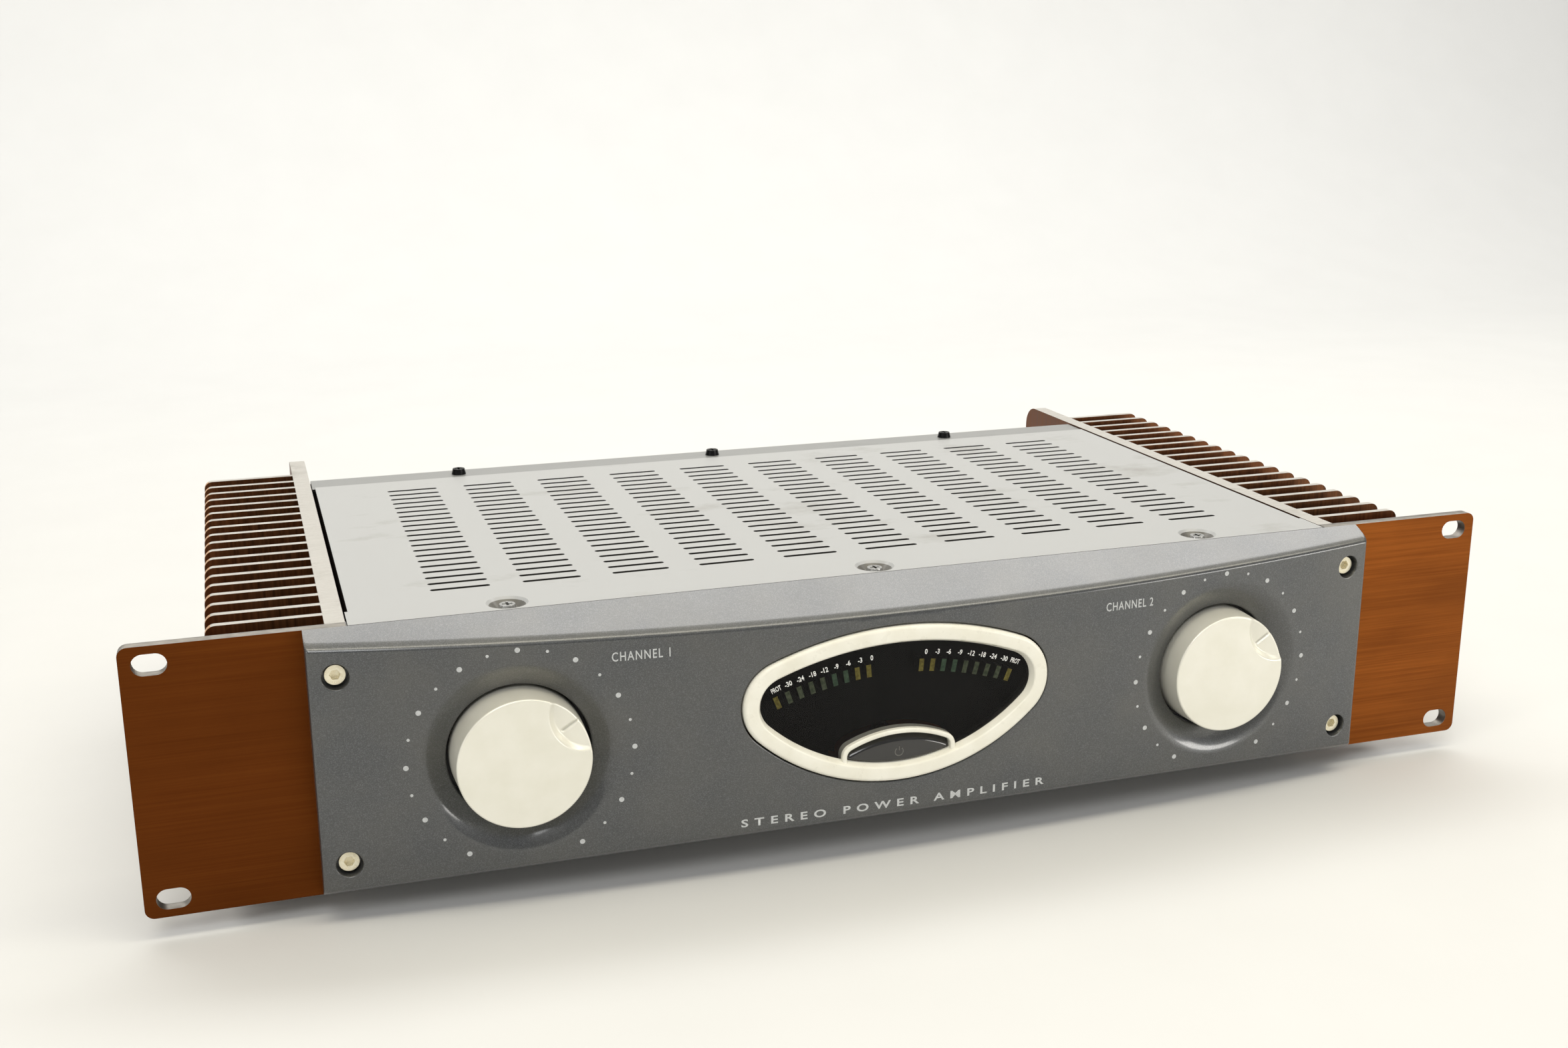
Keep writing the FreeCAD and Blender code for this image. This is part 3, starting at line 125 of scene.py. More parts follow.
def lens_arcs():
    """Centres, radii and spans of the rim outline's four arcs."""
    top_z, bottom_z = RIM_TOP - RIM_TOP_R, RIM_BOTTOM + RIM_BOTTOM_R
    low, high = 1.0, 30.0
    for _ in range(60):  # bisection for the end radius that touches both long arcs
        r = (low + high) / 2
        x = RIM_HALF - r
        from_top = top_z + math.sqrt((RIM_TOP_R - r) ** 2 - x**2)
        from_bottom = bottom_z - math.sqrt((RIM_BOTTOM_R - r) ** 2 - x**2)
        low, high = (r, high) if from_top > from_bottom else (low, r)
    up = math.atan2(from_top - top_z, x)
    down = math.atan2(from_top - bottom_z, x)
    return [
        (x, from_top, r, down, up),
        (0.0, top_z, RIM_TOP_R, up, math.pi - up),
        (-x, from_top, r, math.pi - up, math.pi - down),
        (0.0, bottom_z, RIM_BOTTOM_R, math.pi - down, 2 * math.pi + down),
    ]


def arc_points(arcs, inset, step=0.8):
    """Points along a chain of arcs, moved in by inset."""
    points = []
    for x, z, r, start, end in arcs:
        count = max(4, round(r * (end - start) / step))
        for i in range(count):
            turn = start + (end - start) * i / count
            points.append(
                (x + (r - inset) * math.cos(turn), z + (r - inset) * math.sin(turn))
            )
    return points


LENS_ARCS = lens_arcs()


def lens_inset(x, z):
    """How far a point lies inside the rim's outline; negative outside it."""
    x = abs(x)
    cx, cz, r, down, up = LENS_ARCS[0]
    if x > cx and down < math.atan2(z - cz, x - cx) < up:
        return r - math.hypot(x - cx, z - cz)
    if z > cz:
        return RIM_TOP_R - math.hypot(x, z - LENS_ARCS[1][1])
    return RIM_BOTTOM_R - math.hypot(x, z - LENS_ARCS[3][1])


def arch_arcs(inset):
    """The arch over the button: corner, shallow top and corner, moved in by inset."""
    half, corner, radius = ARCH_HALF - inset, ARCH_CORNER - inset, ARCH_R - inset
    top_z = ARCH_TOP - ARCH_R
    x = half - corner
    z = top_z + math.sqrt((radius - corner) ** 2 - x**2)
    up = math.atan2(z - top_z, x)
    return [
        (x, z, corner, 0.0, up),
        (0.0, top_z, radius, up, math.pi - up),
        (-x, z, corner, math.pi - up, math.pi),
    ]


def fascia_height(x, z):
    """The fascia's outer surface: bowed face, sloped top and bottom, dishes, soft edges."""
    face = bow(x) - round_drop(FASCIA_HALF_W - abs(x), FASCIA_ROUND)
    radius = dial_of(x, z)
    if radius < DISH_REACH:
        hollow = math.sqrt(DISH_RADIUS**2 - radius**2) - DISH_LIFT
        face = soft_min(face, face - hollow, DISH_BLEND) - round_drop(radius - WELL_R, WELL_EDGE)
    face -= round_drop(screw_of(x, z) - SCREW_HOLE_R, SCREW_EDGE)
    face -= round_drop(-lens_inset(x, z) - RIM_GAP, WINDOW_EDGE)
    return soft_min(face, (PANEL_HALF_H - abs(z)) / FASCIA_SLOPE, RIDGE_BLEND)


def normal_of(height, x, z, eps=0.03):
    """Outward normal of the surface y = -height(x, z)."""
    dx = (height(x + eps, z) - height(x - eps, z)) / (2 * eps)
    dz = (height(x, z + eps) - height(x, z - eps)) / (2 * eps)
    return Vector((-dx, -1.0, -dz)).normalized()


# ---- mesh helpers ------------------------------------------------------------------


def add_piece(name, mesh, body, slot, replaces=(), material=None):
    """Links a mesh as a piece that rides on a body, and gives it a material: material if given,
    else the one named by slot.
    """
    piece = bpy.data.objects.new(name, mesh)
    bpy.context.scene.collection.objects.link(piece)
    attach(piece, body)
    if replaces:
        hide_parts(*replaces)
    dress(piece, material or slot)


def mesh_from(name, verts, faces, normals=None, smooth=True):
    """A mesh from millimetre points. normals holds one vector for each face corner."""
    mesh = bpy.data.meshes.new(name)
    mesh.from_pydata([Vector(v) * MM for v in verts], [], faces)
    mesh.polygons.foreach_set("use_smooth", [smooth] * len(mesh.polygons))
    if normals:
        mesh.normals_split_custom_set([n for face in normals for n in face])
    mesh.update()
    return mesh


def wind_forward(verts, faces, skin):
    """Turns every face towards -Y and lists its corners' normals, taken from the points'."""
    normals = []
    for face in faces:
        a, b, c = (Vector(verts[i]) for i in face[:3])
        if (b - a).cross(c - a).y > 0:
            face.reverse()
        normals.append([skin[i] for i in face])
    return normals


def fill(points, loops, keep):
    """Triangulates 2-D points with closed loops as edges; keep(x, z) picks the triangles."""
    coords, edges = [Vector(p) for p in points], []
    for loop in loops:
        first = len(coords)
        coords += [Vector(p) for p in loop]
        count = len(loop)
        edges += [(first + i, first + (i + 1) % count) for i in range(count)]
    verts, _, faces, *_ = delaunay_2d_cdt(coords, edges, [], 0, 1e-5)
    kept = []
    for face in faces:
        middle = sum((verts[i] for i in face), Vector((0, 0))) / len(face)
        if keep(middle.x, middle.y):
            kept.append(list(face))
    return verts, kept


def sheet_and_walls(name, points, loops, keep, height, walls):
    """A height-field skin in front of the panel, with walls running back from some loops.

    walls is a list of (loop, back y); the skin's own normals come from the height function.
    """
    flat, faces = fill(points, loops, keep)
    verts = [(v.x, -height(v.x, v.y), v.y) for v in flat]
    normals = wind_forward(verts, faces, [normal_of(height, v.x, v.y) for v in flat])
    for loop, back in walls:
        add_wall(verts, faces, normals, loop, height, back)
    return mesh_from(name, verts, faces, normals)


def add_wall(verts, faces, normals, loop, height, back):
    """Quads from a loop on the skin straight back to y = back, facing the loop's inside."""
    first, count = len(verts), len(loop)
    verts += [(x, -height(x, z), z) for x, z in loop]
    verts += [(x, back, z) for x, z in loop]
    centre = sum((Vector(p) for p in loop), Vector((0, 0))) / count
    for i in range(count):
        j = (i + 1) % count
        along = Vector(loop[j]) - Vector(loop[i])
        inward = Vector((-along.y, along.x)).normalized()
        middle = (Vector(loop[i]) + Vector(loop[j])) / 2
        if inward.dot(centre - middle) < 0:
            inward.negate()
        face = [first + i, first + j, first + count + j, first + count + i]
        a, b, c = (Vector(verts[k]) for k in face[:3])
        facing = Vector((inward.x, 0, inward.y))
        if (b - a).cross(c - a).dot(facing) < 0:
            face.reverse()
        faces.append(face)
        normals.append([facing] * 4)


def circle(x, z, r, count):
    """Evenly spaced points round a centre."""
    turns = [2 * math.pi * i / count for i in range(count)]
    return [(x + r * math.cos(t), z + r * math.sin(t)) for t in turns]


def lathe(profile, at, segments=96):
    """Turned surface about Y: profile is (radius, length along Y) from one end to the other."""
    verts, faces = [], []
    for r, length in profile:
        for x, z in circle(0, 0, r, segments):
            verts.append((at[0] + x, at[1] + length, at[2] + z))
    for ring in range(len(profile) - 1):
        for i in range(segments):
            j = (i + 1) % segments
            low, high = ring * segments, (ring + 1) * segments
            faces.append([low + i, low + j, high + j, high + i])
    return verts, faces


# ---- materials ----------------------------------------------------------------------


class Paint:
    """A material being built: its tree, its main shader and short ways to add nodes."""

    def __init__(self, name, **sockets):
        self.material = bpy.data.materials.new(name)
        self.material.use_nodes = True
        self.tree = self.material.node_tree
        self.shader = self.tree.nodes["Principled BSDF"]
        for socket, value in sockets.items():
            self.shader.inputs[socket.replace("_", " ")].default_value = value

    def node(self, kind, **values):
        made = self.tree.nodes.new("ShaderNode" + kind)
        for name, value in values.items():
            if hasattr(made, name):
                setattr(made, name, value)
            else:
                made.inputs[name.replace("_", " ")].default_value = value
        return made

    def link(self, source, target):
        self.tree.links.new(source, target)
        return source

    def place(self, scale=(1, 1, 1)):
        """Object coordinates, stretched; the object's own place is its place in the frame."""
        coords = self.node("TexCoord")
        mapping = self.node("Mapping", Scale=scale)
        self.link(coords.outputs["Object"], mapping.inputs["Vector"])
        return mapping.outputs["Vector"]

    def noise(self, size, detail=3.0, stretch=(1, 1, 1), roughness=0.5):
        """Noise whose features are about size millimetres across."""
        noise = self.node(
            "TexNoise", Scale=1 / (size * MM), Detail=detail, Roughness=roughness
        )
        self.link(self.place(stretch), noise.inputs["Vector"])
        return noise.outputs["Fac"]

    def flakes(self, size):
        """Random tone for each cell of a fine pattern, size millimetres across."""
        cells = self.node("TexVoronoi", Scale=1 / (size * MM))
        self.link(self.place(), cells.inputs["Vector"])
        return cells.outputs["Color"]

    def remap(self, source, low, high, start=0.3, end=0.7):
        ramp = self.node("MapRange")
        for name, value in zip(
            ("From Min", "From Max", "To Min", "To Max"), (start, end, low, high)
        ):
            ramp.inputs[name].default_value = value
        self.link(source, ramp.inputs["Value"])
        return ramp.outputs["Result"]

    def math(self, operation, first, second):
        made = self.node("Math", operation=operation)
        for socket, value in zip(made.inputs, (first, second)):
            if isinstance(value, (int, float)):
                socket.default_value = value
            else:
                self.link(value, socket)
        return made.outputs["Value"]

    def mix(self, factor, first, second):
        made = self.node("Mix", data_type="RGBA")
        factor_in, first_in, second_in = made.inputs[0], made.inputs[6], made.inputs[7]
        for socket, value in zip((factor_in, first_in, second_in), (factor, first, second)):
            if isinstance(value, (int, float, tuple)):
                socket.default_value = value
            else:
                self.link(value, socket)
        return made.outputs[2]

    def facing(self, axis, threshold=0.7):
        """1 where the true normal is along an axis, either way, and 0 elsewhere."""
        normal = self.node("NewGeometry")
        parts = self.node("SeparateXYZ")
        self.link(normal.outputs["True Normal"], parts.inputs[0])
        size = self.math("ABSOLUTE", parts.outputs["XYZ".index(axis)], 0.0)
        return self.math("GREATER_THAN", size, threshold)

    def color(self, source):
        self.link(source, self.shader.inputs["Base Color"])
        return self

    def rough(self, source):
        self.link(source, self.shader.inputs["Roughness"])
        return self

    def surface(self, bump=None, strength=0.1, depth=0.05, edge=0.0):
        """Fine relief, and softened edges edge millimetres wide."""
        rounded = None
        if edge:
            rounded = self.node("Bevel", samples=4, Radius=edge * MM)
        if bump is not None:
            relief = self.node("Bump", Strength=strength, Distance=depth * MM)
            self.link(bump, relief.inputs["Height"])
            if rounded:
                self.link(rounded.outputs[0], relief.inputs["Normal"])
            self.link(relief.outputs[0], self.shader.inputs["Normal"])
        elif rounded:
            self.link(rounded.outputs[0], self.shader.inputs["Normal"])
        return self


def rgb(r, g, b):
    """A colour given as it looks on a screen, 0 to 255, turned into linear light."""
    line = [
        c / 12.92 if c <= 0.04045 else ((c + 0.055) / 1.055) ** 2.4
        for c in (r / 255, g / 255, b / 255)
    ]
    return (*line, 1.0)


def anodised_panel():
    """Brown anodised aluminium, brushed along X, with bare metal on the cut edges and painted
    shade darkening its left end.
    """
    paint = Paint("anodised_panel", Metallic=1.0, Anisotropic=0.5)
    grain = paint.noise(0.8, 5, (0.01, 1, 1), 0.7)
    cloud = paint.noise(26, 3, (0.35, 1, 1))
    brown = paint.mix(paint.remap(grain, 0, 1), rgb(120, 63, 22), rgb(158, 91, 37))
    brown = paint.mix(paint.remap(cloud, 0, 0.45, 0.38, 0.66), brown, rgb(94, 49, 19))
    # Painted shade: the brown grows darker from the right towards the left end, which gets less
    # light.
    along = paint.node("SeparateXYZ")
    paint.link(paint.place(), along.inputs[0])
    left_end_shade = paint.remap(along.outputs["X"], 0.72, 0.0, -0.24, 0.12)
    brown = paint.mix(left_end_shade, brown, rgb(76, 36, 12))
    bare = paint.mix(paint.remap(paint.noise(3), 0, 1), rgb(136, 132, 126), rgb(160, 155, 148))
    paint.color(paint.mix(paint.facing("Y"), bare, brown))
    paint.rough(paint.remap(grain, 0.4, 0.5))
    return paint.surface(grain, 0.12, 0.02, 0.25)


def fascia_plastic():
    """Grey moulding with a fine metallic flake under a satin coat."""
    paint = Paint("fascia_plastic", Metallic=0.55, Coat_Weight=0.9, Coat_Roughness=0.13)
    speck = paint.node("SeparateColor")
    paint.link(paint.flakes(0.2), speck.inputs[0])
    bright = paint.remap(speck.outputs[0], 0, 1, 0.5, 1.0)
    tone = paint.mix(bright, rgb(64, 66, 68), rgb(91, 93, 95))
    wear = paint.remap(paint.noise(22, 4), 0, 0.35, 0.35, 0.75)
    paint.color(paint.mix(wear, tone, rgb(94, 92, 86)))
    paint.rough(paint.remap(paint.noise(30, 3), 0.34, 0.42))
    return paint.surface(speck.outputs[0], 0.14, 0.02)


def soft_plastic(name, light, dark, rough=0.35, **sockets):
    """Painted or moulded plastic with a slight mottle and a fine tooth."""
    paint = Paint(name, **sockets)
    paint.color(paint.mix(paint.remap(paint.noise(9, 4), 0, 1), light, dark))
    paint.rough(paint.remap(paint.noise(4, 3), rough - 0.05, rough + 0.05))
    return paint.surface(paint.noise(0.35, 2), 0.06, 0.02, 0.12)


def sheet_paint(name, light, dark, rough=0.42, slots=False):
    """Painted sheet steel: fine grain, faint smudges, softened edges; on the cover, painted shade
    in the dimples and on the slot walls and edges.
    """
    paint = Paint(name, Coat_Weight=0.35, Coat_Roughness=0.25)
    smudge = paint.remap(paint.noise(28, 6, (0.6, 1, 1), 0.62), 0, 1, 0.56, 0.72)
    grain = paint.noise(0.3, 2)
    tone = paint.mix(smudge, light, dark)
    if slots:
        coords = paint.node("SeparateXYZ")
        paint.link(paint.place(), coords.inputs[0])
        strip = paint.math("GREATER_THAN", coords.outputs["Y"], STRIP_START * MM)
        tone = paint.mix(strip, tone, rgb(122, 123, 122))
        # Painted shade: everything below the cover's top level, in the screw dimples, is
        # darkened.
        dimple_shade = paint.math("LESS_THAN", coords.outputs["Z"], DIMPLE_SHADE_Z * MM)
        tone = paint.mix(dimple_shade, tone, rgb(84, 82, 76))
        # Painted shade: faces that neither face up nor down, the slot walls and the cover's
        # edges, are near black.
        tone = paint.mix(paint.facing("Z", 0.5), rgb(34, 33, 30), tone)
    paint.color(tone)
    paint.rough(paint.remap(smudge, rough, rough + 0.1, 0, 1))
    return paint.surface(grain, 0.1, 0.03, 0.15 if slots else 0.3)


def metal(name, light, dark, rough=0.3, size=1.5, metallic=1.0):
    """Turned, plated or drawn metal with a slight mottle, size millimetres across."""
    paint = Paint(name, Metallic=metallic)
    marks = paint.noise(size, 4, (1, 1, 1), 0.6)
    paint.color(paint.mix(paint.remap(marks, 0, 1), light, dark))
    paint.rough(paint.remap(marks, rough - 0.08, rough + 0.1))
    return paint.surface(marks, 0.12, 0.02, 0.15)


def sink_metal():
    """Extruded heat sink: dark brown anodising with drawn lines, pale sawn ends, and a painted
    highlight in light tan on the sloped corners.
    """
    paint = Paint("sink_metal", Metallic=0.75)
    drawn = paint.noise(0.9, 3, (1, 1, 0.015), 0.65)
    cloud = paint.noise(30, 2, (1, 0.2, 0.4))
    side = paint.mix(paint.remap(drawn, 0, 1), rgb(66, 42, 22), rgb(104, 66, 36))
    side = paint.mix(paint.remap(cloud, 0, 0.5), side, rgb(120, 62, 28))
    sawn = paint.noise(0.4, 3, (0.05, 1, 1), 0.6)
    top = paint.mix(paint.remap(sawn, 0, 1), rgb(184, 180, 173), rgb(206, 203, 197))
    smudge = paint.remap(paint.noise(16, 5), 0, 1, 0.58, 0.75)
    top = paint.mix(smudge, top, rgb(170, 166, 158))
    # Painted highlight: sloped corner faces, between the dark sides and the tops, are a light
    # tan.
    corner = paint.mix(paint.facing("Z", 0.25), side, rgb(206, 160, 116))
    paint.color(paint.mix(paint.facing("Z", 0.93), corner, top))
    paint.rough(paint.remap(drawn, 0.34, 0.5))
    return paint.surface(drawn, 0.15, 0.02, 0.15)


def rubber():
    """Black rubber, matt and dusty."""
    paint = Paint("rubber", Specular_IOR_Level=0.3)
    dust = paint.noise(2.5, 5)
    paint.color(paint.mix(paint.remap(dust, 0, 1), rgb(26, 26, 27), rgb(46, 45, 44)))
    paint.rough(paint.remap(dust, 0.7, 0.85))
    return paint.surface(paint.noise(0.4, 3), 0.2, 0.05, 0.4)


def smoked_lens():
    """Half-clear black sheet with a faint haze."""
    paint = Paint("smoked_lens", Alpha=0.56, Coat_Weight=0.0, Specular_IOR_Level=0.2)
    haze = paint.noise(18, 4)
    paint.color(paint.mix(paint.remap(haze, 0, 1), rgb(6, 6, 6), rgb(12, 11, 11)))
    paint.rough(paint.remap(haze, 0.06, 0.12))
    return paint


def circuit_board():
    """Solder mask with tracks and pads showing through."""
    paint = Paint("circuit_board", Coat_Weight=0.3)
    tracks = paint.node("TexBrick", Scale=180.0)
    paint.link(paint.place(), tracks.inputs["Vector"])
    tracks.inputs["Color1"].default_value = rgb(22, 66, 36)
    tracks.inputs["Color2"].default_value = rgb(30, 84, 46)
    tracks.inputs["Mortar"].default_value = rgb(52, 108, 62)
    speck = paint.remap(paint.noise(2.0, 2), 0, 1, 0.6, 0.64)
    paint.color(paint.mix(speck, tracks.outputs["Color"], rgb(170, 165, 140)))
    paint.rough(paint.remap(paint.noise(6), 0.3, 0.45))
    return paint.surface(tracks.outputs["Fac"], 0.2, 0.05)


def copper_wound():
    """Wound coil under clear tape: fine turns running round the ring."""
    paint = Paint("copper_wound", Coat_Weight=0.5, Coat_Roughness=0.2)
    turns = paint.noise(0.8, 2, (1, 1, 0.1))
    paint.color(paint.mix(paint.remap(turns, 0, 1), rgb(120, 66, 24), rgb(196, 124, 58)))
    paint.rough(paint.remap(turns, 0.3, 0.5))
    return paint.surface(turns, 0.5, 0.2)


def lamp(name, tone, dim):
    """An unlit diffused lamp in a black case: only its front shows its colour."""
    paint = Paint(name, Specular_IOR_Level=0.3)
    front = paint.facing("Y")
    lit = paint.mix(paint.remap(paint.noise(1.2, 2), 0, 1), tone, dim)
    paint.color(paint.mix(front, rgb(12, 12, 12), lit))
    paint.rough(paint.remap(paint.noise(1.0), 0.3, 0.5))
    return paint.surface(paint.noise(0.6), 0.2, 0.1)


def ink(name, light, dark):
    """Printed ink, slightly uneven."""
    paint = Paint(name, Roughness=0.55)
    return paint.color(paint.mix(paint.remap(paint.noise(0.8, 3), 0, 1), light, dark))


MATERIALS = {
    "anodised_panel": anodised_panel(),
    "fascia_plastic": fascia_plastic(),
    "ivory_plastic": soft_plastic(
        "ivory_plastic", rgb(230, 228, 216), rgb(221, 218, 203), 0.3
    ),
    "smoked_lens": smoked_lens(),
    "black_plastic": soft_plastic(
        "black_plastic", rgb(24, 24, 24), rgb(34, 33, 32), 0.2, Coat_Weight=0.5
    ),
    "black_moulding": soft_plastic("black_moulding", rgb(26, 26, 27), rgb(38, 38, 38), 0.45),
    "circuit_board": circuit_board(),
    "lamp": lamp("lamp", rgb(140, 152, 118), rgb(92, 104, 78)),
    "knob_plastic": soft_plastic(
        "knob_plastic", rgb(228, 226, 215), rgb(222, 220, 207), 0.36, Metallic=0.3
    ),
    "steel_shaft": metal("steel_shaft", rgb(196, 196, 194), rgb(160, 160, 158), 0.28),
    "zinc_screw": metal(
        "zinc_screw", rgb(252, 246, 222), rgb(236, 226, 196), 0.22, size=1.0, metallic=0.4
    ),
    "dark_screw": metal("dark_screw", rgb(40, 40, 40), rgb(24, 24, 24), 0.4),
    "sink_metal": sink_metal(),
    "painted_sheet": sheet_paint("painted_sheet", rgb(134, 135, 134), rgb(118, 118, 116)),
    "cover_paint": sheet_paint(
        "cover_paint", rgb(160, 161, 161), rgb(142, 141, 138), 0.36, slots=True
    ),
    "plated_sheet": metal("plated_sheet", rgb(170, 170, 168), rgb(140, 140, 138), 0.4, size=8),
    "rubber": rubber(),
    "copper_wound": copper_wound(),
    "capacitor_sleeve": soft_plastic(
        "capacitor_sleeve", rgb(30, 36, 62), rgb(24, 28, 50), 0.3
    ),
    "relay_case": soft_plastic("relay_case", rgb(140, 148, 156), rgb(120, 128, 136), 0.3),
    "gold": metal("gold", rgb(232, 190, 108), rgb(196, 150, 74), 0.22),
    "nickel": metal("nickel", rgb(206, 204, 198), rgb(176, 174, 168), 0.24),
    "red_plastic": soft_plastic("red_plastic", rgb(178, 26, 22), rgb(156, 20, 18), 0.28),
    "print": ink("print", rgb(190, 192, 192), rgb(172, 174, 174)),
    "display_print": ink("display_print", rgb(236, 236, 232), rgb(214, 214, 210)),
    "lamp_yellow": lamp("lamp_yellow", rgb(206, 192, 92), rgb(150, 136, 56)),
    "lamp_green": lamp("lamp_green", rgb(118, 152, 118), rgb(78, 108, 84)),
    # Painted highlight: the power sign's grey, lighter than the cap, stands for light on its
    # edges.
    "sign": ink("sign", rgb(104, 103, 98), rgb(82, 82, 78)),
    "black_board": soft_plastic(
        "black_board", rgb(12, 12, 12), rgb(17, 17, 17), 0.6, Specular_IOR_Level=0.12
    ),
}


def dress(obj, name):
    """Gives an object one material in all its slots."""
    obj.data.materials.clear()
    obj.data.materials.append(MATERIALS[name].material)


LAMP_ROLES = {0: 1, 1: 1, 2: 2, 3: 2, 8: 1}  # bar number from the middle: 1 yellow, 2 green


def dress_frame():
    """Every carried-over CAD node gets the material of its record slot."""
    for obj in NODES.values():
        dress(obj, obj.material_slots[0].material.name)
    dress(NODES["meter_board"], "black_board")
    dress(NODES["top_cover"], "cover_paint")
    dress(NODES["cover_front_screws"], "steel_shaft")
    lamps = NODES["meter_leds"].data
    lamps.materials.append(MATERIALS["lamp_yellow"].material)
    lamps.materials.append(MATERIALS["lamp_green"].material)
    for face in lamps.polygons:
        number = round((abs(face.center.x / MM) - BAR_FIRST) / BAR_PITCH)
        face.material_index = LAMP_ROLES.get(number, 0)


# ---- fascia --------------------------------------------------------------------------

# Distances outside each opening at which the grid has a ring of points
WELL_RINGS = (0.1, 0.25, 0.5, 1.5, 2.6, 3.6, 4.4, 5.1, 5.8, 6.5, 7.2, 8.0, 8.8, 9.6, 10.4)
RIM_RINGS = (0.1, 0.22, 0.45, 1.2, 2.6)
SCREW_RINGS = (0.08, 0.2, 0.4, 1.2)
WELL_BACK, WINDOW_BACK = -1.0, -0.2  # where the walls of the wells and the window end, in Y


def is_clear(x, z):
    """True where a grid point stays clear of the rings round every opening."""
    return (
        dial_of(x, z) >= WELL_R + WELL_RINGS[-1] + 1.5
        and screw_of(x, z) >= SCREW_HOLE_R + SCREW_RINGS[-1] + 0.7
        and lens_inset(x, z) <= -RIM_GAP - RIM_RINGS[-1] - 1.2
    )


def fascia_points():
    """Grid over the fascia's front, dense along the ridges, open round the holes."""
    columns = [FASCIA_HALF_W - FASCIA_ROUND * (1 - math.cos(t * math.pi / 12)) for t in range(7)]
    columns += [FASCIA_HALF_W - 3.5 - 2.5 * i for i in range(74)] + [0.0]
    points = set()
    for x in columns:
        ridge = PANEL_HALF_H - FASCIA_SLOPE * bow(x)
        rows = [ridge * i / 15 for i in range(14)]
        rows += [ridge + step * 0.19 for step in range(-8, 9)]
        rows += [ridge - 2.3, (ridge + 1.7 + PANEL_HALF_H) / 2, PANEL_HALF_H]
        rows = [z for z in rows if z <= PANEL_HALF_H]
        points.update((sx * x, sz * z) for z in rows for sx in SIDES for sz in SIDES)
    return sorted(p for p in points if is_clear(*p))


def make_fascia():
    """The moulded front, with its wells, screw holes and window, and what closes it."""
    wells = [circle(s * DIAL_X, DIAL_Z, WELL_R, 128) for s in SIDES]
    screws = [
        circle(sx * SCREW_X, sz * SCREW_Z, SCREW_HOLE_R, 32) for sx in SIDES for sz in SIDES
    ]
    window = arc_points(LENS_ARCS, -RIM_GAP, 1.2)
    points = fascia_points()
    for sx in SIDES:
        for ring in WELL_RINGS:
            points += circle(sx * DIAL_X, DIAL_Z, WELL_R + ring, 128 if ring < 1 else 96)
        for sz in SIDES:
            for ring in SCREW_RINGS:
                points += circle(sx * SCREW_X, sz * SCREW_Z, SCREW_HOLE_R + ring, 32)
    for ring in RIM_RINGS:
        points += arc_points(LENS_ARCS, -RIM_GAP - ring, 1.2)

    def keep(x, z):
        return (
            dial_of(x, z) > WELL_R - 0.03
            and screw_of(x, z) > SCREW_HOLE_R - 0.03
            and lens_inset(x, z) < -RIM_GAP + 0.02
        )

    walls = [(loop, WELL_BACK) for loop in wells] + [(window, WINDOW_BACK)]
    walls += [(loop, -SCREW_SEAT) for loop in screws]
    mesh = sheet_and_walls(
        "fascia_shell", points, wells + screws + [window], keep, fascia_height, walls
    )
    add_piece("fascia_shell", mesh, "chassis", "fascia_plastic", ["fascia"])
    make_fascia_ends(points)
    make_screw_seats()


def make_fascia_ends(points):
    """The two flat ends of the fascia, from its rounded front edge back to the panel."""
    verts, faces = [], []
    for side in SIDES:
        x = side * FASCIA_HALF_W
        column = [(x, z) for z in sorted(z for px, z in points if px == x)]
        first, count = len(verts), len(column)
        verts += [(x, -fascia_height(x, z), z) for x, z in column]
        verts += [(x, 0.0, z) for x, z in column]
        for i in range(count - 1):
            faces.append([first + i, first + i + 1, first + count + i + 1, first + count + i])
    mesh = mesh_from("fascia_ends", verts, faces, smooth=False)
    add_piece("fascia_ends", mesh, "chassis", "fascia_plastic")


def make_screw_seats():
    """Floors of the four screw recesses."""
    verts, faces = [], []
    for sx in SIDES:
        for sz in SIDES:
            at = (sx * SCREW_X, -SCREW_SEAT, sz * SCREW_Z)
            ring_verts, ring_faces = lathe([(SCREW_HOLE_R, 0), (2.2, 0)], at, 32)
            faces += [[i + len(verts) for i in face] for face in ring_faces]
            verts += ring_verts
    mesh = mesh_from("screw_seats", verts, faces)
    add_piece("screw_seats", mesh, "chassis", "fascia_plastic")


# ---- display rim, lens and button ---------------------------------------------------------


RIM_BACK, RIM_SOFT = -14.0, 1.3
LIP_START, LIP_ROUND, LIP_TURN = 4.6, 0.7, 68  # where the inner lip bends down, and how far
ARCH_PROUD, ARCH_SOFT, ARCH_FOOT_Z = 0.4, 0.55, -17.4
OPENING_FOOT_Z = -19.0
BUTTON_SINK, BUTTON_EDGE, BUTTON_BACK_Y = 0.25, 0.4, -12.4
BEVEL_SLOPE, BEVEL_BLEND = 1.1, 0.6
PILLOW_X, PILLOW_Z = 0.6, 0.3  # how much the cap falls away at its ends, and top and bottom


def quarter(steps):
    """Sine and cosine of each step of a quarter turn, without its start."""
    turns = [math.pi / 2 * i / steps for i in range(1, steps + 1)]
    return [(math.sin(turn), math.cos(turn)) for turn in turns]


def sweep(paths, depths, closed):
    """Quads between matching paths over the bowed face, each at its own height above it."""
    verts, faces = [], []
    count = len(paths[0])
    for path, depth in zip(paths, depths):
        verts += [(x, min(-0.05, -(bow(x) + depth)), z) for x, z in path]
    for ring in range(len(paths) - 1):
        for i in range(count if closed else count - 1):
            j = (i + 1) % count
            low, high = ring * count, (ring + 1) * count
            faces.append([low + i, high + i, high + j, low + j])
    return verts, faces


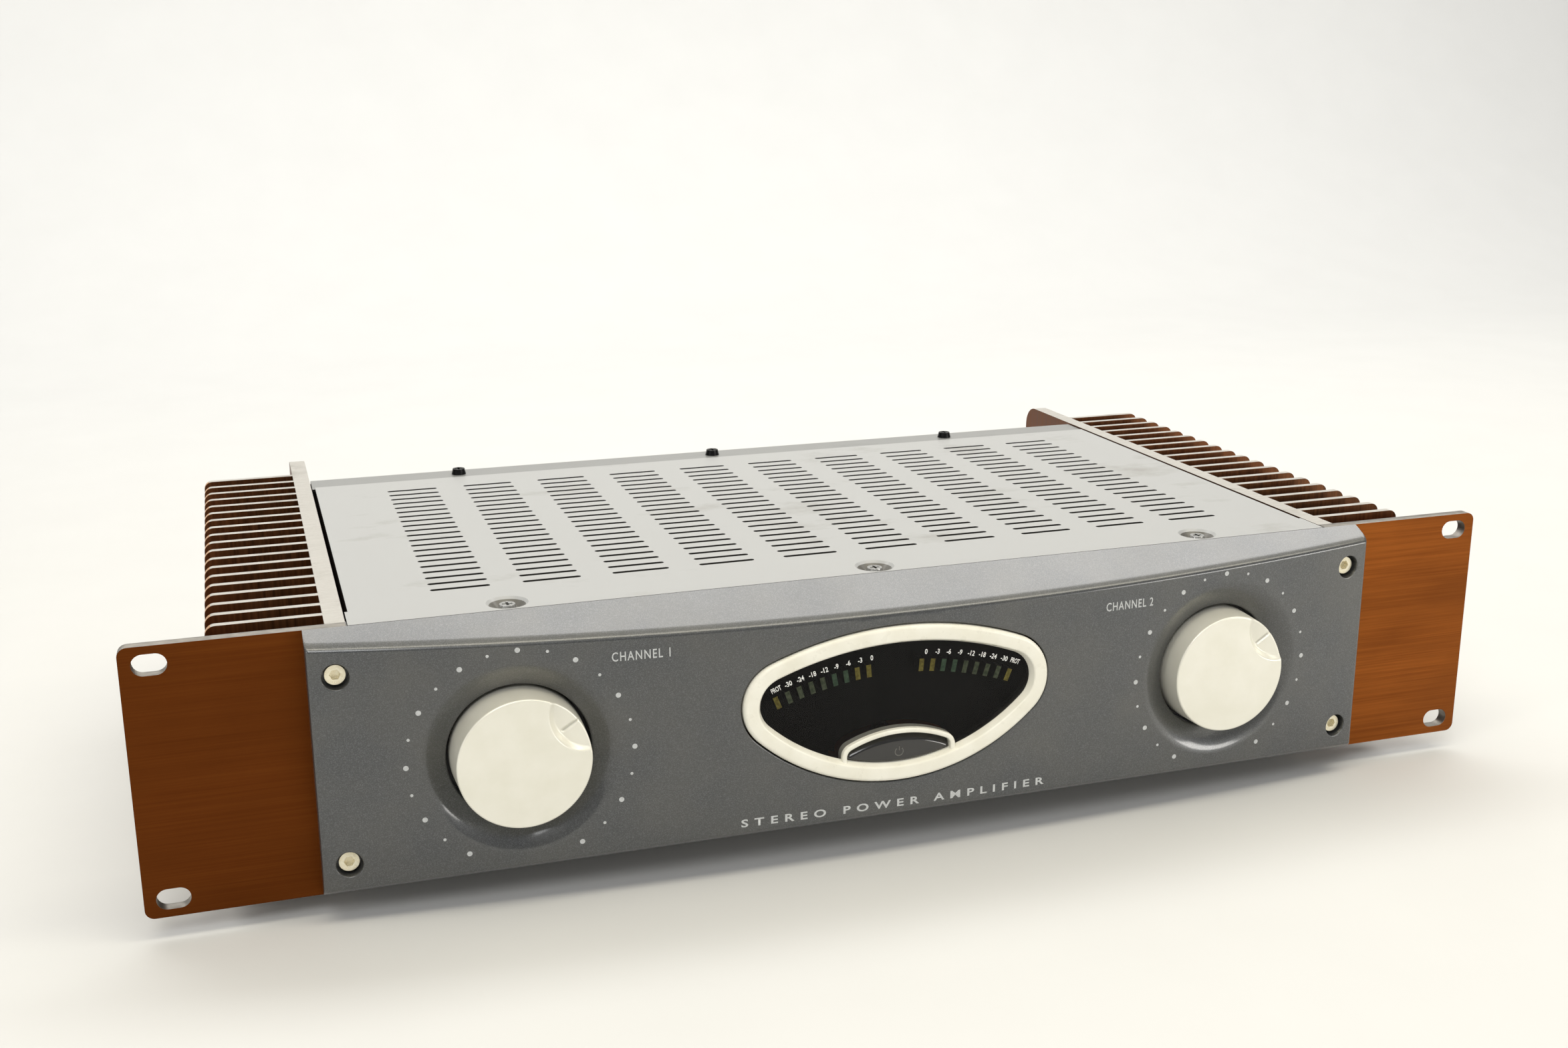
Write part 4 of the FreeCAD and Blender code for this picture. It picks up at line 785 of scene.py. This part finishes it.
def make_rim():
    """Ivory rim: outer wall, rounded front, sloped inner lip down to the lens."""
    profile = [(0.0, RIM_BACK), (0.0, RIM_PROUD - RIM_SOFT)]
    profile += [
        (RIM_SOFT * (1 - cos), RIM_PROUD - RIM_SOFT * (1 - sin)) for sin, cos in quarter(8)
    ]
    profile += [(3.0, RIM_PROUD), (4.4, RIM_PROUD - 0.03)]
    for i in range(1, 6):
        turn = math.radians(LIP_TURN) * i / 5
        drop = 0.05 + LIP_ROUND * (1 - math.cos(turn))
        profile.append((LIP_START + LIP_ROUND * math.sin(turn), RIM_PROUD - drop))
    profile += [(RIM_WIDTH - 0.25, RIM_PROUD - 1.9), (RIM_WIDTH, RIM_PROUD - RIM_LIP - 0.2)]
    outlines = [arc_points(LENS_ARCS, inset, 0.7) for inset, _ in profile]
    verts, faces = sweep(outlines, [depth for _, depth in profile], True)
    mesh = mesh_from("display_rim", verts, faces)
    add_piece("display_rim", mesh, "chassis", "ivory_plastic", ["display_bezel"])


def inside_arch(x, z, inset):
    """True inside the arch's outline moved in by inset."""
    half, top_z, radius = ARCH_HALF - inset, ARCH_TOP - ARCH_R, ARCH_R - inset
    if abs(x) > half or math.hypot(x, z - top_z) > radius:
        return False
    cx, cz, corner, *_ = arch_arcs(inset)[0]
    return not (abs(x) > cx and z > cz and math.hypot(abs(x) - cx, z - cz) > corner)


def button_outline(inset):
    """Loop inside the arch and above the rim's lower edge, moved in by inset."""
    arcs = arch_arcs(ARCH_WIDTH + BUTTON_GAP)
    low_z, low_radius = LENS_ARCS[3][1], LENS_ARCS[3][2]
    radius = low_radius - RIM_WIDTH - BUTTON_GAP - inset
    half = ARCH_HALF - ARCH_WIDTH - BUTTON_GAP - inset
    loop = arc_points(arcs, inset, 0.5) + [(-half, arcs[2][1])]
    steps = 36
    for i in range(steps + 1):
        x = -half + 2 * half * i / steps
        loop.append((x, low_z - math.sqrt(radius**2 - x**2)))
    return loop


def edge_distance(point, loop):
    """Distance from a point to a closed polyline."""
    best = math.inf
    p = Vector(point)
    for i, start in enumerate(loop):
        a, b = Vector(start), Vector(loop[(i + 1) % len(loop)])
        along = b - a
        share = max(0.0, min(1.0, (p - a).dot(along) / max(along.length_squared, 1e-9)))
        best = min(best, (a + along * share - p).length)
    return best


def window_sheet(name, grid, step, height):
    """A sheet that fills the rim's opening except inside the button's arch."""
    outline = arc_points(LENS_ARCS, RIM_WIDTH - 0.3, step)
    half = ARCH_HALF - 0.4
    arch = arc_points(arch_arcs(0.4), 0, 0.6) + [(-half, arch_arcs(0.4)[2][1])]
    arch += [(-half, OPENING_FOOT_Z), (half, OPENING_FOOT_Z)]

    def keep(x, z):
        return not inside_arch(x, z, 0.4) and lens_inset(x, z) > RIM_WIDTH - 0.32

    return sheet_and_walls(name, grid, [outline, arch], keep, height, [])


def make_lens():
    """Smoked window, bowed with the face, just behind the rim's lip."""
    grid = [
        (x * 4.0, z * 3.0)
        for x in range(-12, 13)
        for z in range(-6, 9)
        if lens_inset(x * 4.0, z * 3.0) > RIM_WIDTH + 0.5
    ]
    mesh = window_sheet("display_window", grid, 1.0, lambda x, z: bow(x) + LENS_STAND)
    add_piece("display_window", mesh, "chassis", "smoked_lens", ["display_lens"])


def make_shade_sheet():
    """Black sheet over the meter board, a dark stand-in for the shade inside, so the window looks
    into darkness.
    """
    mesh = window_sheet("meter_shade_sheet", [(0.0, 5.0)], 1.5, lambda x, z: SHADE_SHEET_DEPTH)
    add_piece("meter_shade_sheet", mesh, "chassis", "smoked_lens", material="black_board")


def make_arch():
    """Thin ivory arch round the button, swept along its outline."""
    profile = [(0.0, -4.0), (0.0, ARCH_PROUD - ARCH_SOFT)]
    profile += [
        (ARCH_SOFT * (1 - cos), ARCH_PROUD - ARCH_SOFT * (1 - sin)) for sin, cos in quarter(6)
    ]
    profile += [
        (ARCH_WIDTH - ARCH_SOFT * (1 - sin), ARCH_PROUD - ARCH_SOFT * (1 - cos))
        for sin, cos in quarter(6)
    ]
    profile.append((ARCH_WIDTH, -6.0))
    arcs = arch_arcs(0)
    paths = []
    for inset, _ in profile:
        half = ARCH_HALF - inset
        path = [(half, ARCH_FOOT_Z)] + arc_points(arcs, inset, 0.5)
        paths.append(path + [(-half, arcs[2][1]), (-half, ARCH_FOOT_Z)])
    verts, faces = sweep(paths, [depth for _, depth in profile], False)
    mesh = mesh_from("button_arch", verts, faces)
    add_piece("button_arch", mesh, "chassis", "ivory_plastic", ["button_bezel"])


def make_button():
    """Gloss black cap: pillowed, with a bevel along its top and a raised power sign."""
    border = ARCH_WIDTH + BUTTON_GAP
    loop = button_outline(0)
    crest = arch_arcs(border)[1]

    def height(x, z):
        into = crest[2] - math.hypot(x, z - crest[1])
        bevel = BEVEL_SLOPE * -soft_min(0.0, into - BEVEL_WIDTH, BEVEL_BLEND)
        pillow = PILLOW_X * (x / ARCH_HALF) ** 2 + PILLOW_Z * ((z - BUTTON_Z) / 5.0) ** 2
        edge = round_drop(edge_distance((x, z), loop), BUTTON_EDGE)
        return bow(x) - BUTTON_SINK - bevel - pillow - edge

    def within(x, z, margin):
        in_rim = lens_inset(x, z) > RIM_WIDTH + BUTTON_GAP + margin
        return in_rim and inside_arch(x, z, border + margin)

    points = [(x * 0.9, z * 0.45 - 18.0) for x in range(-21, 22) for z in range(0, 28)]
    points = [p for p in points if within(*p, 0.3) and edge_distance(p, loop) > 0.3]
    for inset in (0.08, 0.2):
        points += button_outline(inset)
    for step in range(-3, 4):
        points += [
            p
            for p in arc_points([crest], BEVEL_WIDTH + 0.15 * step, 0.8)
            if edge_distance(p, loop) > 0.3 and p[1] > BUTTON_Z
        ]
    flat, faces = fill(points, [loop], lambda x, z: within(x, z, -0.02))
    verts = [(v.x, -height(v.x, v.y), v.y) for v in flat]
    normals = wind_forward(verts, faces, [normal_of(height, v.x, v.y) for v in flat])
    first, count = len(verts), len(loop)
    verts += [(x, -height(x, z), z) for x, z in loop]
    verts += [(x, BUTTON_BACK_Y, z) for x, z in loop]
    for i in range(count):
        j = (i + 1) % count
        face = [first + i, first + count + i, first + count + j, first + j]
        a, b, c = (Vector(verts[k]) for k in face[:3])
        faces.append(face)
        normals.append([(b - a).cross(c - a).normalized()] * 4)
    mesh = mesh_from("button_cap", verts, faces, normals)
    add_piece("button_cap", mesh, "power_button", "black_plastic", ["power_button"])
    make_button_stem()
    make_power_sign(height)


def make_button_stem():
    """Round stem from the cap back to the switch."""
    profile = [(0.01, -13.0), (2.4, -13.0), (2.4, 13.2), (2.1, 13.5), (0.01, 13.5)]
    verts, faces = lathe(profile, (0, 0, BUTTON_Z), 32)
    mesh = mesh_from("button_stem", verts, faces, smooth=False)
    add_piece("button_stem", mesh, "power_button", "black_plastic")


def make_power_sign(height):
    """Open ring and bar, as thin raised strokes on the cap, in a grey that is a painted highlight
    standing for the light on the sign's edges.
    """
    centre_z, radius, stroke = BUTTON_Z - 1.2, 1.45, 0.17
    gap_half, segments = 35, 28
    curve = bpy.data.curves.new("power_sign", "CURVE")
    curve.dimensions = "3D"
    curve.bevel_depth = stroke * MM
    curve.bevel_resolution = 2
    sweep_angle = 360 - 2 * gap_half
    ring = [math.radians(90 + gap_half + sweep_angle * i / segments) for i in range(segments + 1)]
    strokes = [
        [(radius * math.cos(t), centre_z + radius * math.sin(t)) for t in ring],
        [(0, centre_z + 0.55), (0, centre_z + 2.1)],
    ]
    for points in strokes:
        line = curve.splines.new("POLY")
        line.points.add(len(points) - 1)
        for place, (x, z) in zip(line.points, points):
            place.co = (x * MM, -height(x, z) * MM, z * MM, 1)
    tube = bpy.data.objects.new("tube", curve)
    bpy.context.scene.collection.objects.link(tube)
    bpy.context.view_layer.update()
    mesh = bpy.data.meshes.new_from_object(
        tube.evaluated_get(bpy.context.evaluated_depsgraph_get())
    )
    bpy.data.objects.remove(tube)
    add_piece("power_sign", mesh, "power_button", "black_plastic", material="sign")


def make_well_floors():
    """Black rings that close the wells behind the knobs; their black is painted shade in the gap
    round each knob.
    """
    shaft_r, thick, floor_y = 7.3, 0.6, -1.2
    for side, name in zip(SIDES, ("well_floor_left", "well_floor_right")):
        profile = [(WELL_R + 0.05, 0), (shaft_r, 0), (shaft_r, thick)]
        verts, faces = lathe(profile, (side * DIAL_X, floor_y, DIAL_Z))
        mesh = mesh_from(name, verts, faces, smooth=False)
        add_piece(name, mesh, "chassis", "black_moulding")


# ---- knobs -------------------------------------------------------------------------------

KNOB_EDGE, KNOB_DOME = 0.55, 0.12
SCOOP_R, SCOOP_REACH, SCOOP_DEPTH, SCOOP_WALL = 13.6, 25.9, 3.0, 2.3
SCOOP_CROWN, SCOOP_RISE = 0.012, 0.16  # the scoop's floor: crowned across, rising to the edge
GROOVE_START, GROOVE_DEPTH, GROOVE_HALF = 14.9, 0.8, 0.5


def scoop_reach(u, v):
    """How far a point lies inside the scoop's rim; negative outside it."""
    return SCOOP_R - math.hypot(u, v - SCOOP_REACH)


def knob_drop(u, v):
    """How far the knob's face lies behind its flat at (u, v), with v towards the pointer."""
    radius = math.hypot(u, v)
    drop = round_drop(KNOB_FACE_R - radius, KNOB_EDGE) + KNOB_DOME * (radius / KNOB_FACE_R) ** 2
    into = scoop_reach(u, v)
    if into > 0:
        share = min(into / SCOOP_WALL, 1.0)
        along = v - (SCOOP_REACH - SCOOP_R)
        floor = SCOOP_DEPTH - SCOOP_CROWN * u**2 - SCOOP_RISE * along
        drop += floor * share * share * (3 - 2 * share)
        start = min(max((v - GROOVE_START) / 0.5, 0.0), 1.0)
        drop += GROOVE_DEPTH * start * max(0.0, 1 - abs(u) / GROOVE_HALF)
    return drop


def knob_points():
    """Points over the knob's face, dense at its edge and in the scoop and its groove."""
    inner = KNOB_FACE_R - 1.0
    points = []
    for inset in (0.06, 0.16, 0.3, 0.55, 0.9):
        points += circle(0, 0, KNOB_FACE_R - inset, 180)
    for radius, count in ((19.0, 90), (16.0, 64), (12.5, 48), (8, 32), (4, 16)):
        points += [p for p in circle(0, 0, radius, count) if scoop_reach(*p) < -0.8]
    points.append((0.0, 0.0))
    for inset in (0, 0.15, 0.35, 0.65, 1.0, 1.35, 1.7, 2.0, SCOOP_WALL):
        rim = circle(0, SCOOP_REACH, SCOOP_R - inset, 110)
        points += [p for p in rim if math.hypot(*p) < inner]
    for u in (-7, -5.5, -4, -2.5, -1.2, -0.45, 0, 0.45, 1.2, 2.5, 4, 5.5, 7):
        for step in range(28):
            v = GROOVE_START + 0.25 * step
            on_groove = abs(u) < 0.5
            on_floor = scoop_reach(u, v) > SCOOP_WALL + 0.1 and step % 3 == 0
            if (on_groove or on_floor) and math.hypot(u, v) < inner:
                points.append((u, v))
    for r in (20.6, 21.0):
        points += [(r * math.sin(a), r * math.cos(a)) for a in (-0.024, -0.01, 0.0, 0.01, 0.024)]
    return points


def make_knob(side, name, body):
    """Ivory cap of a level knob, turned to its pointer's angle at rest."""
    turn = POINTER[side]
    cos, sin = math.cos(turn), math.sin(turn)
    outline = circle(0, 0, KNOB_FACE_R, 180)
    flat, faces = fill(knob_points(), [outline], lambda x, z: True)

    def placed(u, v, y):
        return (side * DIAL_X + u * cos + v * sin, y, DIAL_Z - u * sin + v * cos)

    def lean(p):
        n = normal_of(lambda u, v: -knob_drop(u, v), p.x, p.y)
        return Vector((n.x * cos + n.z * sin, n.y, -n.x * sin + n.z * cos))

    verts = [placed(p.x, p.y, KNOB_FACE_Y + knob_drop(p.x, p.y)) for p in flat]
    normals = wind_forward(verts, faces, [lean(p) for p in flat])
    add_knob_side(verts, faces, normals, outline, placed)
    add_piece(name, mesh_from(name, verts, faces, normals), body, "knob_plastic", [body])


def add_knob_side(verts, faces, normals, outline, placed):
    """The slightly tapered wall from the face's edge to the back, and the annular back."""
    first, count = len(verts), len(outline)
    grow = (KNOB_BASE_R - 0.1) / KNOB_FACE_R
    rings = [(1.0, None), (1 + (grow - 1) * 0.5, -12.0), (grow, KNOB_BACK_Y), (0.88, KNOB_BACK_Y)]
    middle = Vector(placed(0, 0, 0))
    outward = [(Vector(placed(u, v, 0)) - middle).normalized() for u, v in outline]
    for scale, y in rings:
        for u, v in outline:
            depth = KNOB_FACE_Y + knob_drop(u, v) if y is None else y
            verts.append(placed(u * scale, v * scale, depth))
    for ring in range(len(rings) - 1):
        for i in range(count):
            j = (i + 1) % count
            low, high = first + ring * count, first + (ring + 1) * count
            faces.append([low + i, high + i, high + j, low + j])
            back = [Vector((0, 1, 0))] * 4
            normals.append(back if ring == 2 else [outward[k] for k in (i, i, j, j)])


# ---- print ---------------------------------------------------------------------------------


DOT_RING, DOT_FIRST, DOT_STEP, DOT_COUNT = 35.6, -150, 15, 21  # radius, then degrees
DOT_LARGE, DOT_SMALL = 0.85, 0.5
SCALE_MARKS = ("0", "-3", "-6", "-9", "-12", "-18", "-24", "-30", "PROT")
MARK_CAP, MARK_STRETCH, WORD_STRETCH, MARK_SPREAD = 1.8, 0.82, 0.58, 1.03


def text_mesh(text, cap, width=None, stretch=1.0, bold=0.1):
    """A line of capitals cap high, centred: thickened by bold, stretched, spaced to width."""
    curve = bpy.data.curves.new("line", "FONT")
    curve.body = text
    curve.size = 10
    curve.offset = bold
    curve.align_x, curve.align_y = "CENTER", "CENTER"
    curve.resolution_u = 3
    obj = bpy.data.objects.new("line", curve)
    bpy.context.scene.collection.objects.link(obj)
    bpy.context.view_layer.update()
    scale = cap / obj.dimensions.y
    if width:
        tight = obj.dimensions.x
        curve.space_character = 2.0
        bpy.context.view_layer.update()
        wanted = width / (scale * stretch)
        curve.space_character = 1 + (wanted - tight) / (obj.dimensions.x - tight)
        bpy.context.view_layer.update()
    made = bpy.data.meshes.new_from_object(obj)
    middle = (min(v.co.x for v in made.vertices) + max(v.co.x for v in made.vertices)) / 2
    points = [((v.co.x - middle) * scale * stretch, v.co.y * scale) for v in made.vertices]
    faces = [list(f.vertices) for f in made.polygons]
    bpy.data.objects.remove(obj)
    bpy.data.meshes.remove(made)
    return points, faces


class Print:
    """Ink that lies on a height-field surface."""

    def __init__(self, height, lift=0.03):
        self.verts, self.faces, self.height, self.lift = [], [], height, lift

    def add(self, points, faces, x, z, lean=0.0):
        """Lays flat points down at (x, z), turned clockwise by lean."""
        cos, sin = math.cos(lean), math.sin(lean)
        first = len(self.verts)
        for p in points:
            px, pz = x + p[0] * cos + p[1] * sin, z - p[0] * sin + p[1] * cos
            self.verts.append((px, -self.height(px, pz) - self.lift, pz))
        self.faces += [[i + first for i in face] for face in faces]

    def write(self, text, cap, x, z, width=None, stretch=1.0, lean=0.0, bold=0.1):
        """A line of text, centred on (x, z)."""
        self.add(*text_mesh(text, cap, width, stretch, bold), x, z, lean)

    def dot(self, x, z, radius, count=24):
        """A round dot."""
        points = [(0.0, 0.0)] + circle(0, 0, radius, count)
        faces = [[0, i + 1, (i + 1) % count + 1] for i in range(count)]
        self.add(points, faces, x, z)

    def finish(self, name, material, slot):
        """Links the ink as one piece, with every face looking forward."""
        mesh = mesh_from(name, self.verts, self.faces)
        for face in mesh.polygons:
            if face.normal.y > 0:
                face.flip()
        add_piece(name, mesh, "chassis", slot, material=material)


def make_print():
    """Dial dots and lettering on the fascia, and the level scale on the window."""
    fascia = Print(fascia_height)
    for side in SIDES:
        for number in range(DOT_COUNT):
            turn = math.radians(DOT_FIRST + DOT_STEP * number)
            x = side * DIAL_X + DOT_RING * math.sin(turn)
            z = DIAL_Z + DOT_RING * math.cos(turn)
            fascia.dot(x, z, DOT_SMALL if number % 2 else DOT_LARGE)
    fascia.write("CHANNEL 1", 3.1, -87.0, 30.0, 18.7, 0.72)
    fascia.write("CHANNEL 2", 3.1, 86.0, 28.5, 18.7, 0.72)
    fascia.write("STEREO POWER AMPLIFIER", 2.8, -0.3, -32.0, 110.0, 1.45, bold=0.22)
    fascia.finish("fascia_print", "print", "fascia_plastic")

    scale = Print(lambda x, z: bow(x) + LENS_STAND + 0.02)
    for side in SIDES:
        for number, mark in enumerate(SCALE_MARKS):
            x = side * (BAR_FIRST + number * BAR_PITCH)
            z = MARK_TOP - x**2 / (2 * BAR_ARC)
            stretch = WORD_STRETCH if mark == "PROT" else MARK_STRETCH
            lean = math.asin(x / BAR_ARC)
            scale.write(mark, MARK_CAP, x * MARK_SPREAD, z, None, stretch, lean, 0.2)
    scale.finish("scale_print", "display_print", "smoked_lens")


# ---- camera, floor and light ------------------------------------------------------------------


# Name, place, aim, width and depth in metres, watts and colour of each area light
LIGHTS = (
    ("key", (-0.55, -1.1, 1.1), (0, 0, 0), (0.7, 0.5), 7.0, (1, 1, 1)),
    ("fill", (1.3, -1.2, 0.2), (0.15, 0, 0), (0.8, 0.4), 9.8, (1, 0.97, 0.92)),
    ("strip", (0.1, -0.4, 1.2), (0.1, 0, 0), (2.2, 0.34), 11.5, (1, 0.94, 0.78)),
    ("overhead", (0.2, 0.34, 1.25), (0.2, 0, 0), (2.4, 1.15), 7.2, (1, 0.92, 0.74)),
    ("side", (-1.2, -0.5, 0.3), (-0.1, 0, 0), (0.1, 0.6), 1.6, (1, 1, 1)),
    ("back", (0.3, 0.9, 1.7), (0.4, 1.5, 0.4), (3.4, 0.9), 36, (1, 1, 1)),
)
WORLD_LIGHT = 0.3


def make_camera():
    """Camera at the photographed angle, looking down on the left end."""
    data = bpy.data.cameras.new("camera")
    data.lens, data.sensor_width = CAMERA_LENS, SENSOR_WIDTH
    data.clip_start, data.clip_end = 0.01, 20
    camera = bpy.data.objects.new("camera", data)
    turn = (
        Matrix.Rotation(math.radians(-CAMERA_AZIMUTH), 4, "Z")
        @ Matrix.Rotation(math.radians(90 + CAMERA_TILT), 4, "X")
        @ Matrix.Rotation(math.radians(-CAMERA_ROLL), 4, "Z")
    )
    camera.matrix_world = Matrix.Translation(Vector(CAMERA_AT) * MM) @ turn
    bpy.context.scene.collection.objects.link(camera)
    bpy.context.scene.camera = camera


def make_stage():
    """Pale floor that curves up into a wall well behind the amplifier, in metres."""
    wall_y, wall_top, floor_front, half_width, radius = 1.6, 3.0, -3.0, 4.0, 0.6
    steps = 12
    profile = [(floor_front, FLOOR_Z), (wall_y - radius, FLOOR_Z)]
    for i in range(1, steps + 1):
        turn = math.pi / 2 * i / steps
        y = wall_y - radius + radius * math.sin(turn)
        profile.append((y, FLOOR_Z + radius * (1 - math.cos(turn))))
    profile.append((wall_y, wall_top))
    verts = [(x, y, z) for y, z in profile for x in (-half_width, half_width)]
    faces = [[2 * i, 2 * i + 1, 2 * i + 3, 2 * i + 2] for i in range(len(profile) - 1)]
    mesh = bpy.data.meshes.new("stage")
    mesh.from_pydata(verts, [], faces)
    mesh.polygons.foreach_set("use_smooth", [True] * len(faces))
    stage = bpy.data.objects.new("stage", mesh)
    bpy.context.scene.collection.objects.link(stage)
    paint = Paint("stage", Roughness=0.9)
    paint.color(paint.mix(paint.noise(60, 3), (0.60, 0.60, 0.59, 1), (0.63, 0.63, 0.62, 1)))
    stage.data.materials.append(paint.material)


def area_light(name, at, target, size, power, color):
    """A rectangular light at a place, turned towards a target."""
    data = bpy.data.lights.new(name, "AREA")
    data.shape = "RECTANGLE"
    data.size, data.size_y = size
    data.energy, data.color = power, color
    light = bpy.data.objects.new(name, data)
    light.location = Vector(at)
    aim = Vector(target) - Vector(at)
    light.rotation_euler = aim.to_track_quat("-Z", "Y").to_euler()
    bpy.context.scene.collection.objects.link(light)


def make_lights():
    """Even white surroundings and the area lights."""
    world = bpy.data.worlds.new("studio")
    world.use_nodes = True
    background = world.node_tree.nodes["Background"]
    background.inputs["Color"].default_value = (1, 1, 1, 1)
    background.inputs["Strength"].default_value = WORLD_LIGHT
    bpy.context.scene.world = world
    for row in LIGHTS:
        area_light(*row)


def main():
    """Dresses the CAD, then adds the new pieces, the camera, the stage and the lights."""
    dress_frame()
    make_fascia()
    make_rim()
    make_lens()
    make_arch()
    make_shade_sheet()
    make_well_floors()
    make_button()
    make_knob(-1, "cap_left", "knob_left")
    make_knob(1, "cap_right", "knob_right")
    make_print()
    make_camera()
    make_stage()
    make_lights()
    bpy.context.scene.view_settings.view_transform = "Standard"


main()
